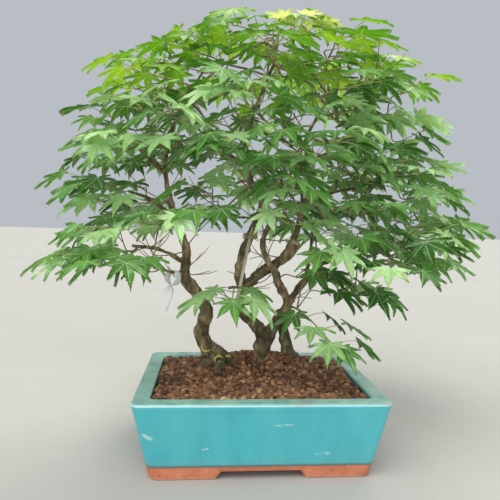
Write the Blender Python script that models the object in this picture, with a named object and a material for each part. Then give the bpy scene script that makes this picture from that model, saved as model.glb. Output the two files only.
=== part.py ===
"""A small clump of Japanese maples trained as a bonsai in a glazed rectangular pot.

Units are metres, +Z is up and the front of the pot faces -Y. The origin lies on the surface that
the feet stand on, under the middle of the floor area that the whole plant covers.
"""

import math
import random

import bmesh
import bpy
from mathutils import Matrix, Vector
from mathutils.bvhtree import BVHTree

MM = 0.001
GAP = 0.3 * MM  # clearance between pieces that touch

# Pot: one fired piece, flared walls, wide flat rim, four feet.
RIM_LENGTH = 0.270
RIM_DEPTH = 0.210
POT_HEIGHT = 0.085
WALL_LEAN = 0.017  # how far each wall leans out between the foot and the rim
WALL = 0.010
RIM_WIDTH = 0.018
RIM_DROP = 0.010  # height of the inner face of the rim
RIM_SLOPE = 0.008  # height over which the rim runs back into the wall
RIM_ROUND = 0.0025
CORNER_RADIUS = 0.010
INNER_CORNER = 0.008
CORNER_STEPS = 4
FOOT_HEIGHT = 0.008
FOOT_WIDTH = 0.016
FOOT_EDGE = 0.0012  # worn edge round the foot
POT_FLOOR = 0.009
FLOOR_FILLET = 0.004
FRONT_ARCH = 0.097  # opening between the front feet, along the floor
SIDE_ARCH = 0.070
ARCH_SLANT = 0.006
DRAIN_RADIUS = 0.009
DRAIN_SPACING = 0.110

# Drain screens and the wire clips that hold them.
SCREEN_OPENINGS = 4
SCREEN_OPENING = 0.0065
SCREEN_BAR = 0.0024
SCREEN_THICKNESS = 0.0012
CLIP_WIRE = 0.0016
CLIP_FOOT = 0.009  # length of each bent-out wire end

# Growing medium.
GRIT_DEPTH = 0.012
SOIL_BELOW_RIM = 0.004
MOUND_HEIGHT = 0.022
SOIL_RINGS = (1.0, 0.8, 0.6, 0.4, 0.2)  # shares of the way out, for the points of its top
SOIL_SIDE_STEPS = 3
MOUND_MIDDLE = Vector((0.005, 0.030))
MOUND_SPREAD = Vector((0.075, 0.042))
PLANTING_DEPTH = 0.020  # how far each trunk runs down into the soil

# Leaves and shoots.
LEAF_LENGTH = 0.039  # from the hub to the tip of the middle lobe
LEAF_THICKNESS = 0.0006
LEAF_DROOP = 0.30  # how far the tips hang below the hub, as a share of their length
PETIOLE_LENGTH = 0.023
PETIOLE_WIDTH = 0.0016
SHOOT_WIDTH = 0.0020
SHOOT_THICKNESS = 0.0012
NODE_SPACING = 0.026
SHOOT_END = 0.004  # from the last pair of leaves to the one at the end
SHOOT_SAG = 1.6  # drop in metres for each square metre of length
CANOPY_SPREAD = 1.0  # scales how far the tiers reach sideways
CANOPY_SEED = 11

BELOW_POT = -2 * MM  # where cutters start under the feet
POT_BOTTOM = FOOT_HEIGHT
FLOOR_TOP = FOOT_HEIGHT + POT_FLOOR
GRIT_TOP = FLOOR_TOP + GAP + GRIT_DEPTH
SOIL_EDGE = POT_HEIGHT - SOIL_BELOW_RIM
SCREEN_SIDE = SCREEN_OPENINGS * SCREEN_OPENING + (SCREEN_OPENINGS + 1) * SCREEN_BAR
SCREEN_TOP = FLOOR_TOP + GAP + SCREEN_THICKNESS


# ---------------------------------------------------------------- helpers


def clear_scene():
    for obj in list(bpy.data.objects):
        bpy.data.objects.remove(obj, do_unlink=True)


def linear(channel):
    return channel / 12.92 if channel <= 0.04045 else ((channel + 0.055) / 1.055) ** 2.4


def finish(name, hex_colour, roughness, metallic=0.0):
    """A Principled material from an sRGB hex colour."""
    material = bpy.data.materials.get(name) or bpy.data.materials.new(name)
    material.use_nodes = True
    shader = material.node_tree.nodes["Principled BSDF"]
    channels = [int(hex_colour[i : i + 2], 16) / 255 for i in (0, 2, 4)]
    shader.inputs["Base Color"].default_value = [*map(linear, channels), 1.0]
    shader.inputs["Roughness"].default_value = roughness
    shader.inputs["Metallic"].default_value = metallic
    material.diffuse_color = [*map(linear, channels), 1.0]
    return material


def add_object(name, mesh_source, material, sharp_degrees=35):
    """Turns a bmesh into a named, shaded object of the scene."""
    bmesh.ops.recalc_face_normals(mesh_source, faces=mesh_source.faces)
    mesh = bpy.data.meshes.new(name)
    mesh_source.to_mesh(mesh)
    mesh_source.free()
    mesh.materials.append(material)
    mesh.shade_smooth()
    mesh.set_sharp_from_angle(angle=math.radians(sharp_degrees))
    obj = bpy.data.objects.new(name, mesh)
    bpy.context.scene.collection.objects.link(obj)
    return obj


def add_helper(name, mesh_source, collection):
    """A cutter, or a limb that is joined to its trunk: kept in the scene but not a piece."""
    bmesh.ops.recalc_face_normals(mesh_source, faces=mesh_source.faces)
    mesh = bpy.data.meshes.new(name)
    mesh_source.to_mesh(mesh)
    mesh_source.free()
    obj = bpy.data.objects.new(name, mesh)
    collection.objects.link(obj)
    obj.hide_render = True
    obj.display_type = "WIRE"


def helper_collection(name):
    collection = bpy.data.collections.new(name)
    bpy.context.scene.collection.children.link(collection)
    return collection


def boolean(obj, operation, helpers):
    """Joins an object with every helper of a collection, or cuts it with them."""
    modifier = obj.modifiers.new(operation.title(), "BOOLEAN")
    modifier.operation = operation
    modifier.solver = "EXACT"
    modifier.operand_type = "COLLECTION"
    modifier.collection = helpers


def surface_of(obj):
    """A search tree of the mesh that an object holds before its modifiers."""
    corners = [vertex.co.copy() for vertex in obj.data.vertices]
    faces = [tuple(polygon.vertices) for polygon in obj.data.polygons]
    return BVHTree.FromPolygons(corners, faces)


def rounded_rectangle(length, depth, radius, height, side_steps=1):
    """A ring of points round a rectangle with round corners, counter-clockwise from above."""
    corners = []
    for quarter, (sign_x, sign_y) in enumerate(((1, 1), (-1, 1), (-1, -1), (1, -1))):
        middle = Vector((sign_x * (length / 2 - radius), sign_y * (depth / 2 - radius), height))
        arc = []
        for step in range(CORNER_STEPS + 1):
            angle = math.pi / 2 * (quarter + step / CORNER_STEPS)
            arc.append(middle + radius * Vector((math.cos(angle), math.sin(angle), 0)))
        corners.append(arc)
    ring = []
    for arc, following in zip(corners, corners[1:] + corners[:1]):
        ring += arc
        ring += [arc[-1].lerp(following[0], step / side_steps) for step in range(1, side_steps)]
    return ring


def loft(rings, close_start=True, close_end=True):
    """Joins rings of equal length, one after the other, into a closed skin."""
    shape = bmesh.new()
    rows = [[shape.verts.new(point) for point in ring] for ring in rings]
    for lower, upper in zip(rows, rows[1:]):
        count = len(lower)
        for i in range(count):
            j = (i + 1) % count
            shape.faces.new((lower[i], lower[j], upper[j], upper[i]))
    if close_start:
        shape.faces.new(reversed(rows[0]))
    if close_end:
        shape.faces.new(rows[-1])
    return shape


def smooth_path(points, steps):
    """A Catmull-Rom curve through the points, with `steps` pieces between each two of them."""
    ends = [2 * points[0] - points[1], *points, 2 * points[-1] - points[-2]]
    path = []
    for a, b, c, d in zip(ends, ends[1:], ends[2:], ends[3:]):
        for step in range(steps):
            t = step / steps
            path.append(
                0.5 * (2 * b + (c - a) * t + (2 * a - 5 * b + 4 * c - d) * t * t
                       + (3 * b - a - 3 * c + d) * t * t * t)
            )
    path.append(points[-1].copy())
    return path


def tube(path, radii, sides, closed=False):
    """A round tube along a path, with a radius for each point."""
    count = len(path)
    side = None
    rings = []
    for i, point in enumerate(path):
        ahead = path[(i + 1) % count] if closed or i < count - 1 else path[i]
        behind = path[i - 1] if closed or i > 0 else path[0]
        forward = (ahead - behind).normalized()
        if side is None:
            side = forward.orthogonal().normalized()
        side = (side - forward * side.dot(forward)).normalized()
        across = forward.cross(side)
        rings.append(
            [
                point + radii[i] * (math.cos(turn) * side + math.sin(turn) * across)
                for turn in (2 * math.pi * k / sides for k in range(sides))
            ]
        )
    if closed:
        return loft([*rings, rings[0]], False, False)
    return loft(rings)


def box(low, high):
    shape = bmesh.new()
    bmesh.ops.create_cube(shape, size=1.0)
    size = high - low
    middle = (high + low) / 2
    for vertex in shape.verts:
        vertex.co = Vector([c * s for c, s in zip(vertex.co, size)]) + middle
    return shape


# ---------------------------------------------------------------- pot


def outer_inset(height):
    """How far the outside of the wall lies inside the rim's outline at a height."""
    return WALL_LEAN * (1 - height / POT_HEIGHT)


def inner_inset(height):
    """How far the inside of the pot lies inside the rim's outline at a height."""
    slope_top = POT_HEIGHT - RIM_ROUND - RIM_DROP
    slope_bottom = slope_top - RIM_SLOPE
    if height >= slope_top:
        return RIM_WIDTH
    wall = outer_inset(slope_bottom) + WALL
    if height >= slope_bottom:
        share = (slope_top - height) / RIM_SLOPE
        return RIM_WIDTH + (wall - RIM_WIDTH) * share
    return outer_inset(height) + WALL


def pot_ring(height, inset, radius, side_steps=1):
    return rounded_rectangle(
        RIM_LENGTH - 2 * inset, RIM_DEPTH - 2 * inset, radius, height, side_steps=side_steps
    )


def inside_heights(bottom, top):
    """The heights where the inside of the pot changes slope, from bottom to top."""
    slope_top = POT_HEIGHT - RIM_ROUND - RIM_DROP
    bends = [slope_top - RIM_SLOPE, slope_top]
    return [bottom, *[height for height in bends if bottom < height < top], top]


def filling_rings(bottom, top, side_steps=1):
    """Rings just inside the pot's inner face, for what is poured into it."""
    rings = []
    for height in inside_heights(bottom, top):
        rings.append(pot_ring(height, inner_inset(height) + GAP, INNER_CORNER, side_steps))
    return rings


def arch(width):
    """The outline of the opening between two feet: places across and up, narrowing upward."""
    slope = ARCH_SLANT / FOOT_HEIGHT
    low = width / 2 - BELOW_POT * slope
    high = width / 2 - ARCH_SLANT
    return [(-low, BELOW_POT), (low, BELOW_POT), (high, FOOT_HEIGHT), (-high, FOOT_HEIGHT)]


def make_pot():
    shoulder = 0.3 * RIM_ROUND  # the middle point of the rim's rounding, from either face
    rings = [
        pot_ring(0, outer_inset(0) + FOOT_EDGE, CORNER_RADIUS),
        pot_ring(FOOT_EDGE, outer_inset(FOOT_EDGE), CORNER_RADIUS),
        pot_ring(POT_HEIGHT - RIM_ROUND, outer_inset(POT_HEIGHT - RIM_ROUND), CORNER_RADIUS),
        pot_ring(POT_HEIGHT - shoulder, shoulder, CORNER_RADIUS),
        pot_ring(POT_HEIGHT, RIM_ROUND, CORNER_RADIUS),
        pot_ring(POT_HEIGHT, RIM_WIDTH - RIM_ROUND, INNER_CORNER),
        pot_ring(POT_HEIGHT - shoulder, RIM_WIDTH - shoulder, INNER_CORNER),
    ]
    for height in reversed(inside_heights(FLOOR_TOP + FLOOR_FILLET, POT_HEIGHT - RIM_ROUND)):
        rings.append(pot_ring(height, inner_inset(height), INNER_CORNER))
    rings.append(pot_ring(FLOOR_TOP, inner_inset(FLOOR_TOP) + FLOOR_FILLET, INNER_CORNER))
    pot = add_object("pot", loft(rings), finish("glazed_stoneware", "4fb0b8", 0.18))

    cutters = helper_collection("pot_cutters")
    recess_inset = WALL_LEAN + FOOT_WIDTH
    recess = [pot_ring(height, recess_inset, INNER_CORNER) for height in (BELOW_POT, FOOT_HEIGHT)]
    add_helper("foot_recess", loft(recess), cutters)
    front = [[Vector((u, far, z)) for u, z in arch(FRONT_ARCH)] for far in (-RIM_DEPTH, RIM_DEPTH)]
    add_helper("front_arch", loft(front), cutters)
    side = [[Vector((far, u, z)) for u, z in arch(SIDE_ARCH)] for far in (-RIM_LENGTH, RIM_LENGTH)]
    add_helper("side_arch", loft(side), cutters)
    for middle in (-DRAIN_SPACING / 2, DRAIN_SPACING / 2):
        bore = bmesh.new()
        bmesh.ops.create_cone(
            bore,
            cap_ends=True,
            segments=20,
            radius1=DRAIN_RADIUS,
            radius2=DRAIN_RADIUS,
            depth=2 * FLOOR_TOP,
            matrix=Matrix.Translation((middle, 0, FLOOR_TOP)),
        )
        add_helper("drain_bore", bore, cutters)
    boolean(pot, "DIFFERENCE", cutters)
    return pot


# ---------------------------------------------------------------- thin sheets


PROBE_MARGIN = 1.2 * GAP


class Sheet:
    """A thin body: a net of faces given a thickness, thinning to an edge where that is zero."""

    def __init__(self):
        self.points = []
        self.normals = []
        self.faces = []

    def add(self, point, up, thickness=0.0):
        """Adds a corner, with its upward direction and the thickness there; zero is a sharp edge."""
        self.points.append(point)
        self.normals.append((up, thickness / 2))
        return len(self.points) - 1

    def solid(self, margin=0.0):
        """The closed body, or with a margin a thicker one, to see whether it has room."""
        shape = bmesh.new()
        upper = []
        lower = []
        for point, (up, half) in zip(self.points, self.normals):
            lift = up * (half + margin)
            upper.append(shape.verts.new(point + lift))
            lower.append(shape.verts.new(point - lift) if half + margin > 0 else upper[-1])
        edges = {(a, b) for face in self.faces for a, b in zip(face, face[1:] + face[:1])}
        for face in self.faces:
            shape.faces.new([upper[i] for i in face])
            shape.faces.new([lower[i] for i in reversed(face)])
        for a, b in sorted(edges):
            if (b, a) in edges:
                continue
            rim = [upper[b], upper[a], lower[a], lower[b]]
            rim = [corner for i, corner in enumerate(rim) if corner not in rim[:i]]
            if len(rim) > 2:
                shape.faces.new(rim)
        return shape

    def probe(self):
        """A search tree of a thicker body, to see whether there is room for this one."""
        shape = self.solid(PROBE_MARGIN)
        tree = BVHTree.FromBMesh(shape)
        shape.free()
        return tree


# ---------------------------------------------------------------- what lies in the pot


def make_screen(name, middle):
    """A square of plastic mesh: bars with open squares between them."""
    lines = [-SCREEN_SIDE / 2]
    for _ in range(SCREEN_OPENINGS):
        lines.append(lines[-1] + SCREEN_BAR)
        lines.append(lines[-1] + SCREEN_OPENING)
    lines.append(lines[-1] + SCREEN_BAR)
    height = FLOOR_TOP + GAP + SCREEN_THICKNESS / 2
    sheet = Sheet()
    count = len(lines)
    for y in lines:
        for x in lines:
            sheet.add(Vector((middle + x, y, height)), Vector((0, 0, 1)), SCREEN_THICKNESS)
    for row in range(count - 1):
        for column in range(count - 1):
            if row % 2 and column % 2:
                continue
            corner = row * count + column
            sheet.faces.append((corner, corner + 1, corner + count + 1, corner + count))
    return add_object(name, sheet.solid(), finish("plastic_mesh", "23262a", 0.6))


def make_clip(name, middle):
    """A wire staple: over the screen, down through two openings and the drain hole, ends bent out."""
    pitch = SCREEN_OPENING + SCREEN_BAR
    leg = pitch / 2
    top = SCREEN_TOP + GAP + CLIP_WIRE / 2
    low = POT_BOTTOM - GAP - CLIP_WIRE / 2
    bend = CLIP_WIRE
    half = [
        Vector((-leg - CLIP_FOOT, leg, low)),
        Vector((-leg - bend, leg, low)),
        Vector((-leg, leg, low + bend)),
        Vector((-leg, leg, top - bend)),
        Vector((-leg + bend, leg, top)),
        Vector((0, leg, top)),
    ]
    other = [Vector((-point.x, point.y, point.z)) for point in reversed(half[:-1])]
    path = [point + Vector((middle, 0, 0)) for point in half + other]
    wire = tube(path, [CLIP_WIRE / 2] * len(path), 6)
    return add_object(name, wire, finish("galvanised_wire", "9a9c9b", 0.4, 1.0))


def make_drainage():
    """The coarse grit on the pot's floor, hollow over each screen and clip."""
    rings = filling_rings(FLOOR_TOP + FLOOR_FILLET + GAP, GRIT_TOP)
    floor = pot_ring(
        FLOOR_TOP + GAP, inner_inset(FLOOR_TOP) + FLOOR_FILLET + 2 * GAP, INNER_CORNER
    )
    grit = add_object("drainage_layer", loft([floor, *rings]), finish("pumice_grit", "b9ab8e", 0.95))
    cutters = helper_collection("drainage_cutters")
    half = SCREEN_SIDE / 2 + GAP
    for side in (-1, 1):
        middle = side * DRAIN_SPACING / 2
        hollow = box(
            Vector((middle - half, -half, FLOOR_TOP - GAP)),
            Vector((middle + half, half, SCREEN_TOP + CLIP_WIRE + 3 * GAP)),
        )
        add_helper("screen_hollow", hollow, cutters)
    boolean(grit, "DIFFERENCE", cutters)
    return grit


def soil_height(x, y):
    away = ((x - MOUND_MIDDLE.x) / MOUND_SPREAD.x) ** 2 + ((y - MOUND_MIDDLE.y) / MOUND_SPREAD.y) ** 2
    return SOIL_EDGE + MOUND_HEIGHT * math.exp(-away)


def make_soil():
    """The granular soil: fills the pot and rises to the trunks."""
    rings = filling_rings(GRIT_TOP + GAP, SOIL_EDGE, SOIL_SIDE_STEPS)
    edge = rings.pop()
    for share in SOIL_RINGS:
        ring = [(point.x * share, point.y * share) for point in edge]
        rings.append([Vector((x, y, soil_height(x, y))) for x, y in ring])
    return add_object("soil_bed", loft(rings), finish("baked_clay_granules", "63432e", 0.95))


# ---------------------------------------------------------------- wood

# Each limb is a row of points in millimetres, with its first and last radius. Heights count from
# the edge of the soil. The first limb of a tree starts at the soil, and the others start inside
# the limb that bears them.
TREES = {
    "left_trunk": (
        ((-41, 22, 16), (-58, 20, 32), (-66, 15, 53), (-61, 8, 76), (-65, 4, 92), (-76, 0, 105),
         (-86, -4, 119), (-86, -8, 141), (-88, -7, 161), (-98, -5, 182), (-105, 0, 207),
         (-113, 5, 246), (-107, 8, 294), (-90, 10, 334), 11.0, 1.8),
        ((-86, -8, 137), (-115, -22, 153), (-145, -30, 157), 3.2, 1.6),
        ((-100, -4, 187), (-130, 14, 211), (-158, 22, 221), 3.0, 1.6),
        ((-104, 0, 204), (-112, 40, 219), (-118, 80, 223), 3.0, 1.5),
        ((-111, 4, 239), (-140, -18, 265), (-160, -30, 275), 2.6, 1.4),
        ((-85, -5, 123), (-99, -20, 127), (-120, -34, 133), 1.6, 1.1),
    ),
    "main_trunk": (
        ((8, 28, 21), (11, 25, 46), (-6, 20, 66), (-20, 15, 80), (-17, 15, 101), (-21, 19, 132),
         (-9, 22, 172), (5, 20, 209), (-1, 18, 224), (-12, 15, 242), (-18, 12, 265), (-14, 10, 301),
         (-2, 6, 339), (12, 0, 375), 9.0, 1.8),
        ((12, 26, 25), (22, 15, 60), (34, 8, 79), (36, 5, 95), (26, 2, 112), (20, 0, 129),
         (12, 0, 140), (4, -5, 161), (10, -12, 184), (20, -30, 207), (24, -60, 224), 8.0, 1.6),
        ((-18, 15, 103), (-8, 18, 111), (6, 21, 126), (26, 18, 138), (41, 15, 152), (47, 12, 165),
         6.0, 6.6),
        ((37, 16, 149), (50, 21, 181), (57, 25, 217), (51, 25, 234), (50, 25, 265), (62, 20, 304),
         (84, 15, 343), 4.6, 1.6),
        ((54, 24, 207), (86, 5, 225), (112, -10, 231), 2.8, 1.5),
        ((50, 25, 259), (92, 30, 277), (130, 32, 281), 2.8, 1.5),
        ((-14, 13, 249), (-38, -22, 263), (-50, -58, 265), 2.8, 1.4),
        ((-3, 20, 219), (-10, 62, 241), (-14, 96, 245), 3.0, 1.5),
        ((-20, 17, 107), (-34, 4, 108), (-34, -12, 109), 1.7, 1.2),
        ((34, 8, 82), (42, 0, 86), (47, -8, 85), 1.8, 1.2),
    ),
    "rear_trunk": (
        ((49, 42, 14), (42, 45, 39), (40, 50, 61), (50, 55, 86), (70, 60, 113), (96, 60, 138),
         (128, 54, 160), (160, 44, 175), 8.0, 2.0),
        ((70, 60, 112), (82, 88, 151), (88, 108, 181), 3.2, 1.6),
        ((97, 60, 137), (122, 22, 151), (140, -14, 157), 2.8, 1.5),
    ),
}
ROOT_BEARINGS = {
    "left_trunk": (190, 265, 330),
    "main_trunk": (200, 265),
    "rear_trunk": (20, 300),
}
STOUT_LIMB = 4.0  # first radius in millimetres from which a limb is drawn with more sides
STOUT_SIDES = 8
SLIM_SIDES = 5
TAPER = 0.8  # below one, a limb thins faster near its foot
ROOT_SIDES = 6
# A surface root, in shares of its trunk's radius: distance out and height of its points, and its
# radius along the way.
ROOT_POINTS = ((0, 0.5), (1.25, -0.1), (2.1, -1.0))
ROOT_RADII = (0.55, 0.5, 0.42, 0.34, 0.25)
BURIED_POINTS = 6  # how many points of a trunk's path reach the soil's surface
TWIG_RADIUS = 0.0009  # at the end that bears a shoot
TWIG_GROWTH = 0.014  # how much thicker a twig is for each metre of its length
TWIG_SIDES = 4
TWIG_SHORTEST = 0.010
TWIG_NECK = 0.012  # the last part of a twig, which points along its shoot
TWIG_BOWS = (0.06, -0.05, 0.16, -0.14)  # how far it bows up, as a share of its length
TWIG_TRIES = 16
SHARPEST_BEND = 0.35  # cosine of the sharpest bend in a twig


def above_soil(point):
    return Vector(point) * MM + Vector((0, 0, SOIL_EDGE))


def tube_probe(path, radii, sides):
    """A search tree of a tube a little wider than the real one, to keep clear of it."""
    shape = tube(path, [radius + GAP for radius in radii], sides)
    tree = BVHTree.FromBMesh(shape)
    shape.free()
    return tree


class Wood:
    """The wood that has grown so far: a skeleton of samples, and the surface of each tree."""

    def __init__(self):
        self.samples = []
        self.surfaces = {name: [] for name in TREES}

    def note(self, tree, path, radii, surface):
        self.samples += [(tree, point, radius) for point, radius in zip(path, radii)]
        self.surfaces[tree].append(surface)

    def all_surfaces(self):
        return [surface for surfaces in self.surfaces.values() for surface in surfaces]


def root_paths(foot, radius, bearings):
    """Surface roots: each leaves the foot of a trunk and dives into the soil."""
    for bearing in bearings:
        turn = math.radians(bearing)
        path = []
        for out, up in ROOT_POINTS:
            path.append(foot + radius * Vector((math.cos(turn) * out, math.sin(turn) * out, up)))
        yield smooth_path(path, 2), [share * radius for share in ROOT_RADII]


def make_trees(wood):
    """The trunks with their boughs and roots; the twigs are joined on later."""
    trees = {}
    hollows = helper_collection("soil_hollows")
    for name, limbs in TREES.items():
        boughs = helper_collection(name + "_boughs")
        for order, (*points, first, last) in enumerate(limbs):
            path = [above_soil(point) for point in points]
            if order == 0:
                foot = path[0]
                path.insert(0, foot - Vector((0, 0, PLANTING_DEPTH)))
            path = smooth_path(path, 2)
            count = len(path) - 1
            radii = [
                MM * (first + (last - first) * (i / count) ** TAPER) for i in range(count + 1)
            ]
            sides = STOUT_SIDES if first > STOUT_LIMB else SLIM_SIDES
            shape = tube(path, radii, sides)
            wood.note(name, path, radii, tube_probe(path, radii, sides))
            if order:
                add_helper(name + "_bough", shape, boughs)
                continue
            trees[name] = add_object(name, shape, finish("maple_bark", "7d7056", 0.85), 60)
            buried = path[:BURIED_POINTS]
            wider = tube(buried, [radius + GAP for radius in radii[:BURIED_POINTS]], sides)
            add_helper("trunk_hollow", wider, hollows)
            for root, thicknesses in root_paths(foot, radii[2], ROOT_BEARINGS[name]):
                add_helper(name + "_root", tube(root, thicknesses, ROOT_SIDES), boughs)
                root[-1] += (root[-1] - root[-2]).normalized() * GAP
                wider = tube(root, [radius + GAP for radius in thicknesses], ROOT_SIDES)
                add_helper("root_hollow", wider, hollows)
        boolean(trees[name], "UNION", boughs)
    return trees, hollows


def plan_twig(wood, base, heading, blocked):
    """A twig from wood behind `base` that ends along `heading` and meets nothing, or None."""

    def cost(sample):
        """How far away a piece of wood is: more if it isn't behind the base, less if stout."""
        span = base - sample[1]
        return span.length * (1.7 - 0.7 * span.normalized().dot(heading)) - 3 * sample[2]

    bearers = []
    for tree, start, radius in sorted(wood.samples, key=cost):
        if radius >= 1.2 * TWIG_RADIUS and (base - start).length >= TWIG_SHORTEST:
            bearers.append((tree, start, radius))
    for tree, start, radius in bearers[:TWIG_TRIES]:
        span = base - start
        others = [s for name, found in wood.surfaces.items() if name != tree for s in found]
        for bow in TWIG_BOWS:
            neck = base - heading * min(TWIG_NECK, 0.35 * span.length)
            middle = start.lerp(neck, 0.5) + Vector((0, 0, bow * span.length))
            path = [start - span.normalized() * 0.4 * radius, middle, neck, base]
            steps = [(b - a).normalized() for a, b in zip(path, path[1:])]
            if min(a.dot(b) for a, b in zip(steps, steps[1:])) < SHARPEST_BEND:
                continue
            thick = min(TWIG_RADIUS + TWIG_GROWTH * span.length, 0.8 * radius)
            radii = [thick + (TWIG_RADIUS - thick) * i / 3 for i in range(4)]
            probe = tube_probe(path, radii, TWIG_SIDES)
            if not any(probe.overlap(other) for other in others + blocked):
                return tree, path, radii, probe
    return None


def add_twig(wood, plan):
    tree, path, radii, surface = plan
    wood.note(tree, path[1:], radii[1:], surface)
    twig = tube(path, radii, TWIG_SIDES)
    add_helper(tree + "_twig", twig, bpy.data.collections[tree + "_boughs"])


# ---------------------------------------------------------------- leafy shoots

# Half of a leaf's outline from its stalk to its tip: angle from the middle lobe in degrees, then
# distance from the hub and drop below it, both as shares of the tip's. Tips and bays take turns.
HALF_LEAF = ((122, 0.32, 0.15), (84, 0.66, 0.55), (63, 0.30, 0.08), (41, 0.90, 0.85),
             (20, 0.36, 0.10), (0, 1.00, 1.00))
NECK = 0.0025  # from the hub of a leaf back to the end of its stalk
STALK_RISE = 14  # degrees
LEAF_TILT = (14, 34)  # degrees below level, least and most
PAIR_SPREAD = (62, 52, 42)  # degrees from the shoot to the leaves of each pair
WOBBLE = 9  # degrees of chance in a leaf's bearing


def grow_leaf(sheet, stalk_edge, hub, forward, up, length):
    """Adds a stalk and a drooping five-lobed blade to a sheet, from an edge of its shoot."""
    left = up.cross(forward).normalized()
    neck = hub - forward * NECK
    left_neck = sheet.add(neck + left * PETIOLE_WIDTH / 2, up, LEAF_THICKNESS)
    right_neck = sheet.add(neck - left * PETIOLE_WIDTH / 2, up, LEAF_THICKNESS)
    sheet.faces.append((stalk_edge[0], stalk_edge[1], right_neck, left_neck))
    middle = sheet.add(hub, up, LEAF_THICKNESS)
    outline = [(-angle, reach, droop) for angle, reach, droop in HALF_LEAF]
    outline += [(angle, reach, droop) for angle, reach, droop in reversed(HALF_LEAF[:-1])]
    ring = [right_neck]
    for angle, reach, droop in outline:
        turn = math.radians(angle)
        away = math.cos(turn) * forward + math.sin(turn) * left
        ring.append(sheet.add(hub + length * (reach * away - LEAF_DROOP * droop * up), up))
    ring.append(left_neck)
    for a, b in zip(ring, ring[1:] + ring[:1]):
        sheet.faces.append((middle, a, b))


def probe_leaf(start, hub, forward, up, length):
    """The same leaf and stalk on their own, as a search tree, to see whether it has room."""
    sheet = Sheet()
    left = up.cross(forward).normalized() * PETIOLE_WIDTH / 2
    edge = (sheet.add(start + left, up, LEAF_THICKNESS), sheet.add(start - left, up, LEAF_THICKNESS))
    grow_leaf(sheet, edge, hub, forward, up, length)
    return sheet.probe()


def leaf_tries():
    """Ways to turn a leaf that meets something: bearing and tilt in degrees, stalk length share."""
    tries = [
        (bearing, tilt, share)
        for bearing in (0, 14, -14, 28, -28)
        for tilt in (0, 14, -14, 28, -28)
        for share in (1.0, 0.75, 1.3)
    ]
    return sorted(tries, key=lambda t: abs(t[0]) + abs(t[1]) + 30 * abs(t[2] - 1))


def turned(vector, axis, degrees):
    return Matrix.Rotation(math.radians(degrees), 3, axis) @ vector


def grow_shoot(name, base, along, pairs, chance, obstacles, material):
    """A young shoot with opposite leaves, as one thin body; leaves without room are left out."""
    level = Vector((0, 0, 1)).cross(along).normalized()
    up = along.cross(level).normalized()
    sheet = Sheet()
    lengths = [0.0]
    for pair in range(pairs):
        node = NODE_SPACING * (0.55 + pair)
        lengths += [node - PETIOLE_WIDTH / 2, node + PETIOLE_WIDTH / 2]
    lengths.append(lengths[-1] + SHOOT_END)
    stations = []
    for length in lengths:
        middle = base + along * length - Vector((0, 0, SHOOT_SAG * length * length))
        left_edge = sheet.add(middle + level * SHOOT_WIDTH / 2, up, SHOOT_THICKNESS)
        right_edge = sheet.add(middle - level * SHOOT_WIDTH / 2, up, SHOOT_THICKNESS)
        stations.append((left_edge, right_edge))
    for (left_a, right_a), (left_b, right_b) in zip(stations, stations[1:]):
        sheet.faces.append((right_a, right_b, left_b, left_a))
    spine = sheet.probe()
    if any(spine.overlap(other) for other in obstacles):
        return None, None
    plans = []
    for pair in range(pairs):
        behind, ahead = stations[2 * pair + 1], stations[2 * pair + 2]
        size = LEAF_LENGTH * chance.uniform(0.88, 1.06)
        left_bearing = PAIR_SPREAD[pair] + chance.uniform(-WOBBLE, WOBBLE)
        right_bearing = -PAIR_SPREAD[pair] + chance.uniform(-WOBBLE, WOBBLE)
        plans.append(((behind[0], ahead[0]), left_bearing, size))
        plans.append(((ahead[1], behind[1]), right_bearing, size * 0.97))
    last_size = LEAF_LENGTH * chance.uniform(0.78, 0.92)
    plans.append((stations[-1], chance.uniform(-WOBBLE, WOBBLE), last_size))
    grown = []
    for edge, bearing, size in plans:
        start = (sheet.points[edge[0]] + sheet.points[edge[1]]) / 2
        tilt = chance.uniform(*LEAF_TILT)
        stalk = PETIOLE_LENGTH * chance.uniform(0.85, 1.15)
        for turn, extra, share in leaf_tries():
            heading = turned(along, up, bearing + turn)
            flat = Vector((heading.x, heading.y, 0)).normalized()
            side = Vector((0, 0, 1)).cross(flat)
            rise = turned(flat, side, -STALK_RISE)
            forward = turned(flat, side, tilt + extra)
            hub = start + rise * stalk * share
            face_up = forward.cross(side).normalized()
            probe = probe_leaf(start, hub, forward, face_up, size)
            if any(probe.overlap(other) for other in obstacles + grown):
                continue
            grow_leaf(sheet, edge, hub, forward, face_up, size)
            grown.append(probe)
            break
    if len(grown) < FEWEST_LEAVES:
        return None, None
    return add_object(name, sheet.solid(), material, 25), [*grown, spine]


FEWEST_LEAVES = 2  # a shoot with room for fewer is tried elsewhere
# Foliage tiers, from the top: height above the soil's edge, reach sideways, reach front to back,
# sideways shift of the middle, number of shoots, first bearing and rise of the shoots in degrees.
TIERS = (
    (0.406, 0.134, 0.086, 0.014, 5, 62, 8),
    (0.374, 0.200, 0.136, 0.004, 7, 12, 10),
    (0.328, 0.232, 0.158, 0.000, 8, -8, 8),
    (0.270, 0.250, 0.170, -0.004, 9, 14, 4),
    (0.206, 0.246, 0.170, 0.004, 9, -4, 0),
)
TIER_JITTER = 0.009  # how far chance lifts or lowers a shoot of a tier
# Low shoots: where each starts, in millimetres, and its bearing and rise in degrees.
LOW_SHOOTS = (
    ((-150, -34, 151), 200, -4),
    ((-118, -66, 145), 228, -6),
    ((154, -20, 151), -18, -8),
    ((112, -58, 145), -62, -8),
    ((158, 40, 169), 14, -4),
    ((94, 108, 169), 62, -4),
    ((-30, -26, 111), -96, -10),
    ((50, -12, 84), -66, -18),
)
SHOOT_REACH = 0.100  # from the base of a shoot to its outermost leaf tip
TWO_PAIRS = 0.85  # share of the shoots with two pairs of leaves, not three
YOUNG_ABOVE = 0.335  # height over the soil's edge from which the leaves are young
STAGGER = 0.018  # how far every second shoot of a tier stands back
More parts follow.
